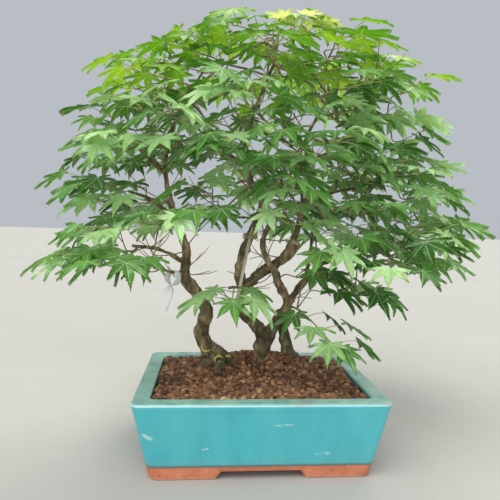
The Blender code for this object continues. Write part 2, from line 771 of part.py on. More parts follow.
# Where a shoot is tried when its first place is taken: millimetres up and degrees sideways.
SHOOT_TRIES = [
    (lift, swing) for swing in (0, 14, -14, 28, -28) for lift in (0, 9, -9, 18, -18, 27)
]


def shoot_places(chance):
    """Where each shoot starts and which way it grows, tier by tier."""
    places = []
    for height, reach_x, reach_y, shift, count, first, rise in TIERS:
        for i in range(count):
            bearing = math.radians(first + 360 * i / count)
            stagger = 0.0 if i % 2 else STAGGER
            away = Vector((math.cos(bearing) * reach_x, math.sin(bearing) * reach_y, 0))
            away *= CANOPY_SPREAD
            start = away - away.normalized() * (SHOOT_REACH * CANOPY_SPREAD + stagger)
            lift = SOIL_EDGE + height - stagger * 0.6 + chance.uniform(-TIER_JITTER, TIER_JITTER)
            start += Vector((shift, 0.01, lift))
            places.append((start, math.degrees(math.atan2(away.y, away.x)), rise))
    for point, bearing, rise in LOW_SHOOTS:
        places.append((above_soil(point), bearing, rise))
    return places


def make_foliage(wood, obstacles):
    chance = random.Random(CANOPY_SEED)
    mature = finish("maple_leaf", "5f8f43", 0.5)
    young = finish("maple_leaf_young", "86a94f", 0.5)
    sprays = []
    upward = Vector((0, 0, 1))
    for start, bearing, rise in shoot_places(chance):
        turn = math.radians(bearing)
        climb = math.radians(rise)
        level = Vector((math.cos(turn), math.sin(turn), 0))
        along = level * math.cos(climb) + upward * math.sin(climb)
        name = f"leaf_spray_{len(sprays) + 1:02d}"
        pairs = 2 if chance.random() < TWO_PAIRS else 3
        tone = young if start.z > SOIL_EDGE + YOUNG_ABOVE else mature
        for lift, swing in SHOOT_TRIES:
            base = start + upward * lift * MM
            heading = turned(along, upward, swing)
            twig = plan_twig(wood, base, heading, obstacles)
            if twig is None:
                continue
            root = base + heading * 2.5 * GAP
            around = obstacles + wood.all_surfaces() + [twig[-1]]
            spray, grown = grow_shoot(name, root, heading, pairs, chance, around, tone)
            if spray:
                add_twig(wood, twig)
                sprays.append(spray)
                obstacles += grown
                break
    return sprays


# ---------------------------------------------------------------- small things on the tree

SPLINT_FOOT = (-25, 3.5, 85)  # these places are in millimetres, heights from the soil's edge
SPLINT_HEAD = (-7.5, 10.5, 181)
SPLINT_WIDTH = 0.0042
SPLINT_THICKNESS = 0.0016
SPLINT_OUTLINE = ((0, 0.55), (0.08, 1), (0.9, 1.0), (1, 0.5))  # place along it and its width there
TIED_STEM = (-9.5, 21.8, 170.5)
TIE_WIRE = 0.0009
TIE_ACROSS = 0.0082  # from its middle to the side of the stem
TIE_PAST = 0.0062  # how far it passes the middle of what it holds, front and back
TIE_SLOPE = 0.0012
TIE_STEPS = 16
TAG_TWIG = (-99.3, -20.2, 127.5)
TAG_WIDTH = 0.012
TAG_THICKNESS = 0.0004
TAG_BLADE = 0.030
TAG_LOOP = 0.0085  # radius of the loop round the twig
TAG_SLACK = 0.0063  # how far the loop's middle hangs below the twig's
LOOP_STEPS = 12
BLADE_STEPS = 4


def make_splint():
    """A flat split of bamboo, tapered at both ends."""
    foot = above_soil(SPLINT_FOOT)
    span = above_soil(SPLINT_HEAD) - foot
    across = span.cross(Vector((0, 1, 0))).normalized()
    out = across.cross(span).normalized()
    rings = []
    for share, width in SPLINT_OUTLINE:
        half = across * SPLINT_WIDTH / 2 * width
        deep = out * SPLINT_THICKNESS / 2
        middle = foot + span * share
        rings.append([middle + a * half + b * deep for a, b in ((1, 1), (-1, 1), (-1, -1), (1, -1))])
    return add_object("bamboo_splint", loft(rings), finish("weathered_bamboo", "b5a183", 0.8))


def make_tie():
    """One turn of raffia round the stem and the head of the splint."""
    stem = above_soil(TIED_STEM)
    head = above_soil(SPLINT_HEAD).lerp(above_soil(SPLINT_FOOT), 0.1)
    middle = stem.lerp(head, 0.42)
    reach = (stem - head).length / 2 + TIE_PAST
    path = []
    for step in range(TIE_STEPS):
        turn = 2 * math.pi * step / TIE_STEPS
        across = TIE_ACROSS * math.cos(turn)
        path.append(middle + Vector((across, reach * math.sin(turn), TIE_SLOPE * math.sin(turn))))
    ring = tube(path, [TIE_WIRE] * TIE_STEPS, 5, closed=True)
    return add_object("raffia_tie", ring, finish("dry_raffia", "a08a62", 0.9))


def make_tag():
    """A self-looping label: a blade that hangs from a loop round a twig."""
    axis = Vector((-0.62, -0.75, 0.18)).normalized()
    down = (Vector((0, 0, -1)) + axis * axis.z).normalized()
    side = axis.cross(down).normalized()
    middle = above_soil(TAG_TWIG) + down * TAG_SLACK
    stations = []
    # The loop runs most of the way round, then the blade hangs from its lower end.
    for step in range(LOOP_STEPS + 1):
        turn = math.radians(12 + 336 * step / LOOP_STEPS)
        away = math.cos(turn) * down + math.sin(turn) * side
        stations.append((middle + TAG_LOOP * away, axis, away))
    last = stations[-1][0]
    blade_out = Vector((0.25, -1, 0.1)).normalized()
    blade_down = Vector((-0.34, 0, -1)).normalized()
    blade_axis = blade_down.cross(blade_out).normalized()
    if blade_axis.dot(axis) < 0:
        blade_axis.negate()
    for step in range(1, BLADE_STEPS + 1):
        share = step / BLADE_STEPS
        across = axis.lerp(blade_axis, share).normalized()
        point = last + down * 1.5 * MM + blade_down * TAG_BLADE * share
        stations.append((point, across, blade_down.cross(across).normalized()))
    sheet = Sheet()
    for point, across, away in stations:
        sheet.add(point - across * TAG_WIDTH / 2, away, TAG_THICKNESS)
        sheet.add(point + across * TAG_WIDTH / 2, away, TAG_THICKNESS)
    for i in range(len(stations) - 1):
        sheet.faces.append((2 * i, 2 * i + 1, 2 * i + 3, 2 * i + 2))
    return add_object("paper_tag", sheet.solid(), finish("coated_paper", "eef0f0", 0.3))


# ---------------------------------------------------------------- the whole plant


def centre_on_footprint(pieces):
    """Moves everything sideways so that the origin lies under the middle of the plant."""
    bpy.context.view_layer.update()
    corners = [obj.matrix_world @ vertex.co for obj in pieces for vertex in obj.data.vertices]
    shift = Vector((0, 0, 0))
    for axis in (0, 1):
        places = [corner[axis] for corner in corners]
        shift[axis] = -(min(places) + max(places)) / 2
    for obj in bpy.data.objects:
        obj.location += shift


def main():
    clear_scene()
    pot = make_pot()
    soil = make_soil()
    pieces = [pot, soil, make_drainage()]
    for side, word in ((-1, "left"), (1, "right")):
        pieces.append(make_screen(f"drain_screen_{word}", side * DRAIN_SPACING / 2))
        pieces.append(make_clip(f"screen_clip_{word}", side * DRAIN_SPACING / 2))
    wood = Wood()
    trees, hollows = make_trees(wood)
    boolean(soil, "DIFFERENCE", hollows)
    small = [make_splint(), make_tie(), make_tag()]
    obstacles = [surface_of(obj) for obj in [pot, soil, *small]]
    pieces += [*trees.values(), *small]
    pieces += make_foliage(wood, obstacles)
    centre_on_footprint(pieces)


main()
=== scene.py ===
import math
import random

import bmesh
import bpy
import numpy as np
from mathutils import Matrix, Vector, noise
from mathutils.kdtree import KDTree


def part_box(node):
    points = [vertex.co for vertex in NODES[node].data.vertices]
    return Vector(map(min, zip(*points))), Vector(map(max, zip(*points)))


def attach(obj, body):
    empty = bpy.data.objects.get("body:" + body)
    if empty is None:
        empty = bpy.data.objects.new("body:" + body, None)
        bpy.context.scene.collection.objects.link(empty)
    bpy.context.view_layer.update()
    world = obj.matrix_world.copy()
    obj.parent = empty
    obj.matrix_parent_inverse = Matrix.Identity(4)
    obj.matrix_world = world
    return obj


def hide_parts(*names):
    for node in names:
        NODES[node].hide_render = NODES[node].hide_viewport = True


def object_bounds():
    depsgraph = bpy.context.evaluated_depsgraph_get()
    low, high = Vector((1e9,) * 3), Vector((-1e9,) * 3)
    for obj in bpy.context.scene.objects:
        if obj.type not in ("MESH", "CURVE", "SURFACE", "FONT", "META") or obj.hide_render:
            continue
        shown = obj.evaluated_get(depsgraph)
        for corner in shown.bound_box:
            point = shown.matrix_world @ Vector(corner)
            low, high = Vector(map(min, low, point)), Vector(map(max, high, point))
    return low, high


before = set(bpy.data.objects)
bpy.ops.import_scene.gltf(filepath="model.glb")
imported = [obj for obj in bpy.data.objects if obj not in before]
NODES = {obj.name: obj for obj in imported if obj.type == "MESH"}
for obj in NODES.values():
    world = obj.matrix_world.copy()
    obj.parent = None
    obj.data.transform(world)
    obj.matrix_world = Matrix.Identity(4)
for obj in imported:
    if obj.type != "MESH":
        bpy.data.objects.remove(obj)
CAD_BOX = [list(corner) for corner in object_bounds()]
MM = 0.001
UP = Vector((0, 0, 1))
WOBBLE_SCALE = 260  # per metre: a thin stem swells and shrinks over about 4 mm

POT_LOW, POT_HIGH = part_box("pot")
POT_PLACE = Vector(((POT_LOW.x + POT_HIGH.x) / 2, (POT_LOW.y + POT_HIGH.y) / 2, 0))
SOIL_BELOW_RIM = 4 * MM
SOIL_EDGE = POT_HIGH.z - SOIL_BELOW_RIM


# ---------------------------------------------------------------- small tools


def colour(hex_colour, alpha=1.0):
    """An sRGB hex colour as the linear values that a shader takes."""
    channels = [int(hex_colour[i : i + 2], 16) / 255 for i in (0, 2, 4)]
    return (*(c / 12.92 if c <= 0.04045 else ((c + 0.055) / 1.055) ** 2.4 for c in channels), alpha)


def add_to(tree, node, settings):
    """Gives a shader node its settings: a value for each property or socket, or what feeds it."""
    for key, value in settings.items():
        if isinstance(value, bpy.types.Node):
            value = next(output for output in value.outputs if output.enabled)
        if key == "stops":
            ramp = node.color_ramp.elements
            while len(ramp) < len(value):
                ramp.new(0.5)
            for stop, (place, tint) in zip(ramp, value):
                stop.position = place
                stop.color = colour(tint)
        elif isinstance(value, bpy.types.NodeSocket):
            tree.links.new(value, node.inputs[key])
        elif isinstance(key, str) and hasattr(node, key):
            setattr(node, key, value)
        else:
            node.inputs[key].default_value = colour(value) if isinstance(value, str) else value
    return node


def add(tree, kind, settings=None):
    """Adds a shader node with its settings and links."""
    return add_to(tree, tree.nodes.new("ShaderNode" + kind), settings or {})


def new_material(name):
    """A material with its tree, its Principled shader and its output."""
    material = bpy.data.materials.new(name)
    material.use_nodes = True
    tree = material.node_tree
    return material, tree, tree.nodes["Principled BSDF"], tree.nodes["Material Output"]


def put(name, data, place=(0, 0, 0)):
    """Puts a mesh, a lamp or a camera into the scene."""
    obj = bpy.data.objects.new(name, data)
    obj.location = place
    bpy.context.scene.collection.objects.link(obj)
    return obj


def to_object(name, points, faces, materials, place=(0, 0, 0)):
    """A smooth mesh object from plain lists of points and faces."""
    mesh = bpy.data.meshes.new(name)
    mesh.from_pydata([tuple(p) for p in points], [], [tuple(f) for f in faces])
    for material in materials:
        mesh.materials.append(material)
    mesh.shade_smooth()
    return put(name, mesh, place)


def grid_faces(rows, columns):
    """The faces of a sheet of points that is laid out row by row."""
    faces = []
    for row in range(rows):
        for column in range(columns):
            a = row * (columns + 1) + column
            faces.append((a, a + 1, a + columns + 2, a + columns + 1))
    return faces


def tube_faces(first, rings, sides):
    """The faces of a closed tube: `rings` rings of `sides` points each, from point `first` on."""
    faces = []
    for ring in range(rings - 1):
        for k in range(sides):
            a = first + ring * sides + k
            b = first + ring * sides + (k + 1) % sides
            faces.append((a, b, b + sides, a + sides))
    faces.append(tuple(range(first + sides - 1, first - 1, -1)))
    faces.append(tuple(first + (rings - 1) * sides + k for k in range(sides)))
    return faces


def round_the(axis_a, axis_b, turn):
    """A direction in the plane of two axes, at an angle from the first."""
    return math.cos(turn) * axis_a + math.sin(turn) * axis_b


def finder_of(places):
    """Finds the nearest of some places."""
    finder = KDTree(len(places))
    for i, place in enumerate(places):
        finder.insert(place, i)
    finder.balance()
    return finder


def settle(obj, slot, *replaced):
    """Says what the piece rides on and which solids it stands for. The finish it has (slot) is not used."""
    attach(obj, "root")
    if replaced:
        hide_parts(*replaced)


def smooth_path(points, steps):
    """A Catmull-Rom curve through the points, with `steps` pieces between each two of them."""
    ends = [2 * points[0] - points[1], *points, 2 * points[-1] - points[-2]]
    path = []
    for a, b, c, d in zip(ends, ends[1:], ends[2:], ends[3:]):
        for step in range(steps):
            t = step / steps
            path.append(0.5 * (2 * b + (c - a) * t + (2 * a - 5 * b + 4 * c - d) * t * t
                               + (3 * b - a - 3 * c + d) * t * t * t))
    path.append(points[-1].copy())
    return path


def crescent(middle, out, radius, spread, thick, tubes):
    """A raised lip of callus on bark: part of a ring that faces `out`, thin at its ends."""
    side = UP.cross(out).normalized()
    rise = out.cross(side)
    path, radii = [], []
    for step in range(13):
        share = step / 12
        turn = math.radians(spread[0] + (spread[1] - spread[0]) * share)
        sunk = 0.15 * radius * abs(math.cos(turn))
        path.append(middle + radius * round_the(side, rise, turn) - out * sunk)
        radii.append(thick * (0.25 + 0.75 * math.sin(math.pi * share)))
    tubes.add(path, radii, 10, wobble=0.2)


class Tubes:
    """Round tubes collected into one mesh."""

    def __init__(self):
        self.points = []
        self.faces = []

    def add(self, path, radii, sides, wobble=0.0):
        side = None
        first = len(self.points)
        last = len(path) - 1
        for i, point in enumerate(path):
            forward = (path[min(i + 1, last)] - path[max(i - 1, 0)]).normalized()
            if side is None:
                side = forward.orthogonal().normalized()
            side = (side - forward * side.dot(forward)).normalized()
            across = forward.cross(side)
            for k in range(sides):
                away = round_the(side, across, 2 * math.pi * k / sides)
                radius = radii[i]
                if wobble:
                    radius *= 1 + wobble * noise.noise((point + away * radius) * WOBBLE_SCALE)
                self.points.append(point + away * radius)
        self.faces += tube_faces(first, len(path), sides)


# ---------------------------------------------------------------- glazed pot

RIM_LENGTH = POT_HIGH.x - POT_LOW.x
RIM_DEPTH = POT_HIGH.y - POT_LOW.y
POT_HEIGHT = POT_HIGH.z
WALL_LEAN = 17 * MM
WALL = 10 * MM
RIM_WIDTH = 18 * MM
RIM_ROUND = 2.4 * MM  # rounding of the rim outside
INNER_ROUND = 2.2 * MM  # and inside
RIM_DROP = 10 * MM
RIM_SLOPE = 8 * MM
OUTER_CORNER = 10 * MM
INNER_CORNER = 8 * MM
FOOT_HEIGHT = 8 * MM
FOOT_WIDTH = 16 * MM
INSIDE_FLOOR = FOOT_HEIGHT + 9 * MM
UNDERSIDE = FOOT_HEIGHT + 0.3 * MM
FRONT_ARCH = 97 * MM
SIDE_ARCH = 70 * MM
ARCH_SLANT = 6 * MM
DRAIN_RADIUS = 9 * MM
DRAIN_SPACING = 110 * MM
BARE_BAND = 15.5 * MM  # height of the clay left bare under the glaze
GLAZE_STEP = 0.5 * MM  # thickness of the glaze where it ends
SIDE_STEP = 2.5 * MM  # spacing of the points along the walls


def stations(half, arch):
    """Places along one wall at the rim: even, with extra ones over the bends of the arch."""
    spread = half / (half - WALL_LEAN)
    bends = []
    for sign in (-1, 1):
        for edge in (arch / 2, arch / 2 - ARCH_SLANT):
            bends += [sign * spread * (edge + shift * MM) for shift in (-1.1, -0.4, 0.4, 1.1)]
    count = round(2 * half / SIDE_STEP)
    places = [-half + 2 * half * i / count for i in range(1, count)]
    places = [u for u in places if min(abs(u - bend) for bend in bends) > 0.8 * MM]
    return sorted(places + bends)


def pot_outline(inset, radius):
    """Points round the pot at an inset from the rim, counter-clockwise from above."""
    half_x = RIM_LENGTH / 2 - inset
    half_y = RIM_DEPTH / 2 - inset
    long_wall = stations(RIM_LENGTH / 2 - OUTER_CORNER, FRONT_ARCH)
    short_wall = stations(RIM_DEPTH / 2 - OUTER_CORNER, SIDE_ARCH)
    reach_x = (half_x - radius) / (RIM_LENGTH / 2 - OUTER_CORNER)
    reach_y = (half_y - radius) / (RIM_DEPTH / 2 - OUTER_CORNER)
    ring = []
    for quarter, (sign_x, sign_y) in enumerate(((1, 1), (-1, 1), (-1, -1), (1, -1))):
        middle = Vector((sign_x * (half_x - radius), sign_y * (half_y - radius)))
        for step in range(9):
            turn = math.pi / 2 * (quarter + step / 8)
            ring.append(middle + radius * Vector((math.cos(turn), math.sin(turn))))
        if quarter == 0:
            ring += [Vector((-u * reach_x, half_y)) for u in long_wall]
        elif quarter == 1:
            ring += [Vector((-half_x, -u * reach_y)) for u in short_wall]
        elif quarter == 2:
            ring += [Vector((u * reach_x, -half_y)) for u in long_wall]
        else:
            ring += [Vector((half_x, u * reach_y)) for u in short_wall]
    return ring


def arch_height(point, half_x, half_y):
    """How high the bottom of the foot band stands over the table at a place round the pot."""
    rise = 0.0
    for place, arch, is_here in (
        (point.x, FRONT_ARCH, abs(abs(point.y) - half_y) < 0.5 * MM),
        (point.y, SIDE_ARCH, abs(abs(point.x) - half_x) < 0.5 * MM),
    ):
        if is_here:
            share = (arch / 2 - abs(place)) / ARCH_SLANT
            share = min(1.0, max(0.0, share))
            rise = max(rise, FOOT_HEIGHT * share)
    return rise


def wall_inset(height):
    return WALL_LEAN * (1 - height / POT_HEIGHT)


def rounded(radius, turns):
    """An edge's rounding: for each angle in degrees, how far along and how far down it has gone."""
    angles = [math.radians(turn) for turn in turns]
    return [(radius * (1 - math.cos(angle)), radius * (1 - math.sin(angle))) for angle in angles]


def pot_profile():
    """Rows of the pot's skin: height, inset from the rim's outline and corner radius."""
    rows = []
    for height in (2.2, 4, 7, 9.5, 12, 14.3):
        rows.append((height * MM, wall_inset(height * MM) + GLAZE_STEP, OUTER_CORNER))
    for rise, step in ((-0.5 * MM, GLAZE_STEP), (-0.1 * MM, 0.2 * MM), (0.5 * MM, -0.1 * MM)):
        rows.append((BARE_BAND + rise, wall_inset(BARE_BAND) + step, OUTER_CORNER))
    height = BARE_BAND + 2.5 * MM
    while height < POT_HEIGHT - 4 * MM:
        rows.append((height, wall_inset(height), OUTER_CORNER))
        height += 4 * MM
    for along, down in rounded(RIM_ROUND, (0, 18, 36, 54, 72, 90)):
        rows.append((POT_HEIGHT - down, along, OUTER_CORNER))
    for share in (0.25, 0.5, 0.75):
        inset = RIM_ROUND + share * (RIM_WIDTH - RIM_ROUND - INNER_ROUND)
        rows.append((POT_HEIGHT - 0.25 * MM * math.sin(math.pi * share), inset, 9 * MM))
    for down, along in rounded(INNER_ROUND, (0, 22, 45, 68, 90)):
        rows.append((POT_HEIGHT - down, RIM_WIDTH - along, INNER_CORNER))
    slope_top = POT_HEIGHT - 2.5 * MM - RIM_DROP
    slope_low = slope_top - RIM_SLOPE
    rows.append((slope_top, RIM_WIDTH, INNER_CORNER))
    rows.append((slope_low, wall_inset(slope_low) + WALL, INNER_CORNER))
    inset = wall_inset(INSIDE_FLOOR) + WALL
    rows.append((INSIDE_FLOOR + 4 * MM, inset, INNER_CORNER))
    rows.append((INSIDE_FLOOR, inset + 4 * MM, INNER_CORNER))
    return rows


def drain_ring(shape, middle, height):
    """One end of a drain hole."""
    ring = []
    for step in range(24):
        turn = 2 * math.pi * step / 24
        x = middle + DRAIN_RADIUS * math.cos(turn)
        ring.append(shape.verts.new((x, DRAIN_RADIUS * math.sin(turn), height)))
    return ring


def bridge(shape, lower, upper):
    """A band of faces between two rings of points."""
    for i in range(len(lower)):
        j = (i + 1) % len(lower)
        shape.faces.new((lower[i], lower[j], upper[j], upper[i]))


def foot_rings(rises):
    """Rings under the pot, from the underside out over the rounded foot of the base band."""
    underside = pot_outline(FOOT_WIDTH + WALL_LEAN - 0.1 * MM, INNER_CORNER)
    rings = [[Vector((p.x, p.y, UNDERSIDE)) for p in underside]]
    for inset, radius, lift in (
        (FOOT_WIDTH - 0.5 * MM, INNER_CORNER, 0.8 * MM), (FOOT_WIDTH - 1.2 * MM, INNER_CORNER, 0),
        (2.2 * MM, OUTER_CORNER, 0), (1.2 * MM, OUTER_CORNER, 0.35 * MM), (0.7 * MM, OUTER_CORNER, 1.1 * MM),
    ):
        ring = pot_outline(WALL_LEAN + inset, radius)
        highest = FOOT_HEIGHT + 0.2 * MM + lift
        rings.append([Vector((p.x, p.y, min(rise + lift, highest))) for p, rise in zip(ring, rises)])
    return rings


def wall_rings(half_x, half_y, rises):
    """Rings up the outside, over the rim and down inside, with the swells of a hand-pressed pot."""
    rings = []
    for height, inset, radius in pot_profile():
        ring = []
        calm = 0.0 if height > POT_HEIGHT - 14 * MM and inset > 15 * MM else 1.0
        for p, rise in zip(pot_outline(inset, radius), rises):
            lifted = max(height, rise + height * (1 - rise / BARE_BAND)) if height < BARE_BAND else height
            point = Vector((p.x, p.y, lifted))
            away = Vector((p.x / half_x, p.y / half_y, 0)).normalized()
            swell = noise.noise(point * 22) * 0.35 * MM + noise.noise(point * 70) * 0.12 * MM
            ring.append(point + away * (swell * calm) + UP * swell * 0.5 * calm * (height > 0.9 * POT_HEIGHT))
        rings.append(ring)
    return rings


def make_pot(glaze, clay):
    shape = bmesh.new()
    half_x = RIM_LENGTH / 2 - WALL_LEAN
    half_y = RIM_DEPTH / 2 - WALL_LEAN
    rises = [arch_height(point, half_x, half_y) for point in pot_outline(WALL_LEAN, OUTER_CORNER)]
    rings = foot_rings(rises) + wall_rings(half_x, half_y, rises)
    rows = [[shape.verts.new(point) for point in ring] for ring in rings]
    for lower, upper in zip(rows, rows[1:]):
        bridge(shape, lower, upper)
    # The floor, inside and under, with the two drain holes through it.
    under, inside = [rows[0]], [rows[-1]]
    for middle in (-DRAIN_SPACING / 2, DRAIN_SPACING / 2):
        under.append(drain_ring(shape, middle, UNDERSIDE))
        inside.append(drain_ring(shape, middle, INSIDE_FLOOR))
        bridge(shape, inside[-1], under[-1])
    for loops in (under, inside):
        edges = []
        for loop in loops:
            for ends in zip(loop, loop[1:] + loop[:1]):
                edges.append(shape.edges.get(ends) or shape.edges.new(ends))
        bmesh.ops.triangle_fill(shape, use_beauty=True, edges=edges)
    bmesh.ops.recalc_face_normals(shape, faces=shape.faces)
    mesh = bpy.data.meshes.new("pot_glazed")
    shape.to_mesh(mesh)
    shape.free()
    mesh.materials.append(glaze)
    mesh.materials.append(clay)
    room = Vector((RIM_LENGTH, RIM_DEPTH)) / 2 - Vector((RIM_WIDTH, RIM_WIDTH)) - Vector((1, 1)) * MM
    for polygon in mesh.polygons:
        top = max(mesh.vertices[i].co.z for i in polygon.vertices)
        x, y, z = polygon.center
        is_inside = abs(x) < room.x and abs(y) < room.y and z < POT_HEIGHT - 14 * MM
        polygon.material_index = 1 if top < BARE_BAND - 0.05 * MM or is_inside else 0
    mesh.shade_smooth()
    mesh.set_sharp_from_angle(angle=math.radians(48))
    settle(put("pot_glazed", mesh, POT_PLACE), "glazed_stoneware", "pot")


# ---------------------------------------------------------------- clay granules

MOUND_HEIGHT = 22 * MM
MOUND_MIDDLE = Vector((5 * MM, 30 * MM))
MOUND_SPREAD = Vector((75 * MM, 42 * MM))
GRANULE_SPACING = 4.3 * MM
GRANULE_SIZES = (1.9, 2.3, 2.8, 3.2, 3.7, 4.2)  # radii in millimetres


def soil_height(x, y):
    away = ((x - MOUND_MIDDLE.x) / MOUND_SPREAD.x) ** 2 + ((y - MOUND_MIDDLE.y) / MOUND_SPREAD.y) ** 2
    return SOIL_EDGE + MOUND_HEIGHT * math.exp(-away)


def granule_shapes(chance, count):
    """Worn lumps of baked clay: rounded, lopsided, with a few flat sides."""
    shapes = []
    for _ in range(count):
        lump = bmesh.new()
        bmesh.ops.create_icosphere(lump, subdivisions=2, radius=1.0)
        seed = Vector([chance.uniform(0, 50) for _ in range(3)])
        squash = Vector((chance.uniform(0.85, 1.15), chance.uniform(0.75, 1.0), chance.uniform(0.65, 0.9)))
        planes = [Vector([chance.gauss(0, 1) for _ in range(3)]).normalized() for _ in range(5)]
        for vertex in lump.verts:
            point = vertex.co.copy()
            for plane in planes:
                over = point.dot(plane) - 0.82
                if over > 0:
                    point -= plane * over * 0.8
            point *= 1 + 0.10 * noise.noise(point * 1.6 + seed) + 0.05 * noise.noise(point * 4 + seed)
            vertex.co = Vector([c * s for c, s in zip(point, squash)])
        lump.verts.ensure_lookup_table()
        points = np.array([v.co for v in lump.verts])
        faces = np.array([[v.index for v in f.verts] for f in lump.faces])
        lump.free()
        shapes.append((points, faces))
    return shapes


class Pile:
    """Granules collected into one mesh, each a turned and sized copy of one of a few shapes."""

    def __init__(self, chance, kinds):
        self.chance = chance
        self.shapes = granule_shapes(chance, kinds)
        self.points, self.faces = [], []

    def add(self, place, size, axes):
        shape, triangles = self.shapes[self.chance.randrange(len(self.shapes))]
        turn = Matrix.Identity(3)
        for axis in axes:
            turn = turn @ Matrix.Rotation(self.chance.uniform(0, 6.283), 3, axis)
        self.points.append(shape @ np.array(turn).T * size + np.array(place))
        self.faces.append(triangles)

    def piece(self, name, material, which, *replaced):
        points = self.points[which]
        faces = [triangles + i * len(points[0]) for i, triangles in enumerate(self.faces[which])]
        obj = to_object(name, np.concatenate(points), np.concatenate(faces), [material], POT_PLACE)
        settle(obj, "baked_clay_granules", *replaced)


def granule_spots(chance, half_x, half_y):
    """A loose honeycomb over the soil, with a second granule on some of the first: x, y and lift."""
    row_spacing = GRANULE_SPACING * 0.866
    for row in range(int(2 * half_y / row_spacing) + 1):
        for column in range(int(2 * half_x / GRANULE_SPACING) + 2):
            x = -half_x + (column + 0.5 * (row % 2)) * GRANULE_SPACING + chance.uniform(-0.9, 0.9) * MM
            y = -half_y + row * row_spacing + chance.uniform(-0.9, 0.9) * MM
            yield x, y, 0.0
            if chance.random() < 0.16:
                yield x + 1.5 * MM, y + 1.2 * MM, 1.7 * MM


def make_granules(material, stems):
    """The top of the soil, granule by granule, clear of the pot's wall and of the stems."""
    chance = random.Random(5)
    pile = Pile(chance, 14)
    half_x = RIM_LENGTH / 2 - RIM_WIDTH
    half_y = RIM_DEPTH / 2 - RIM_WIDTH
    for x, y, lift in list(granule_spots(chance, half_x, half_y)):
        size = chance.choice(GRANULE_SIZES) * chance.uniform(0.88, 1.12) * MM
        edge = min(half_x - abs(x), half_y - abs(y))
        corner = Vector((abs(x) - half_x + INNER_CORNER, abs(y) - half_y + INNER_CORNER))
        if edge < 0.9 * size or (min(corner) > 0 and corner.length > INNER_CORNER - size):
            continue
        if any((x - sx) ** 2 + (y - sy) ** 2 < (radius + 0.2 * size) ** 2 for sx, sy, radius in stems):
            continue
        sunk = max(0.0, 1 - edge / (7 * MM)) * chance.uniform(0.4, 1.6) * MM
        z = soil_height(x, y) + lift + chance.uniform(-1.3, 1.3) * MM - sunk - 0.6 * MM
        pile.add((x, y, z), size, "ZX")
    half = len(pile.points) // 2
    pile.piece("granules_front", material, slice(half), "soil_bed")
    pile.piece("granules_back", material, slice(half, None))


def make_pale_lumps(material):
    """A few large pale granules that lie together along the front wall, and some by themselves."""
    chance = random.Random(17)
    pile = Pile(chance, 5)
    spots = [(chance.uniform(-58, -18), chance.uniform(-84, -76)) for _ in range(13)]
    spots += [(-98, -68), (-92, -80), (30, -60), (-70, -30)]
    for x, y in spots:
        place = (x * MM, y * MM, soil_height(x * MM, y * MM) + 0.6 * MM)
        pile.add(place, chance.uniform(2.3, 3.4) * MM, "Z")
    pile.piece("pale_granules", material, slice(None))


def make_bed(material):
    """The packed clay under the loose top, painted nearly black as shade: a rough surface that closes every
    gap.
    """
    half_x = RIM_LENGTH / 2 - RIM_WIDTH - 0.2 * MM
    half_y = RIM_DEPTH / 2 - RIM_WIDTH - 0.2 * MM
    across, along = 96, 72
    points = []
    for row in range(along + 1):
        for column in range(across + 1):
            x = half_x * (2 * column / across - 1)
            y = half_y * (2 * row / along - 1)
            rough = noise.noise(Vector((x, y, 0)) * 420) * 1.1 * MM
            points.append((x, y, soil_height(x, y) - 3.2 * MM + rough))
    obj = to_object("granule_bed", points, grid_faces(along, across), [material], POT_PLACE)
    settle(obj, "baked_clay_granules")


# ---------------------------------------------------------------- wood

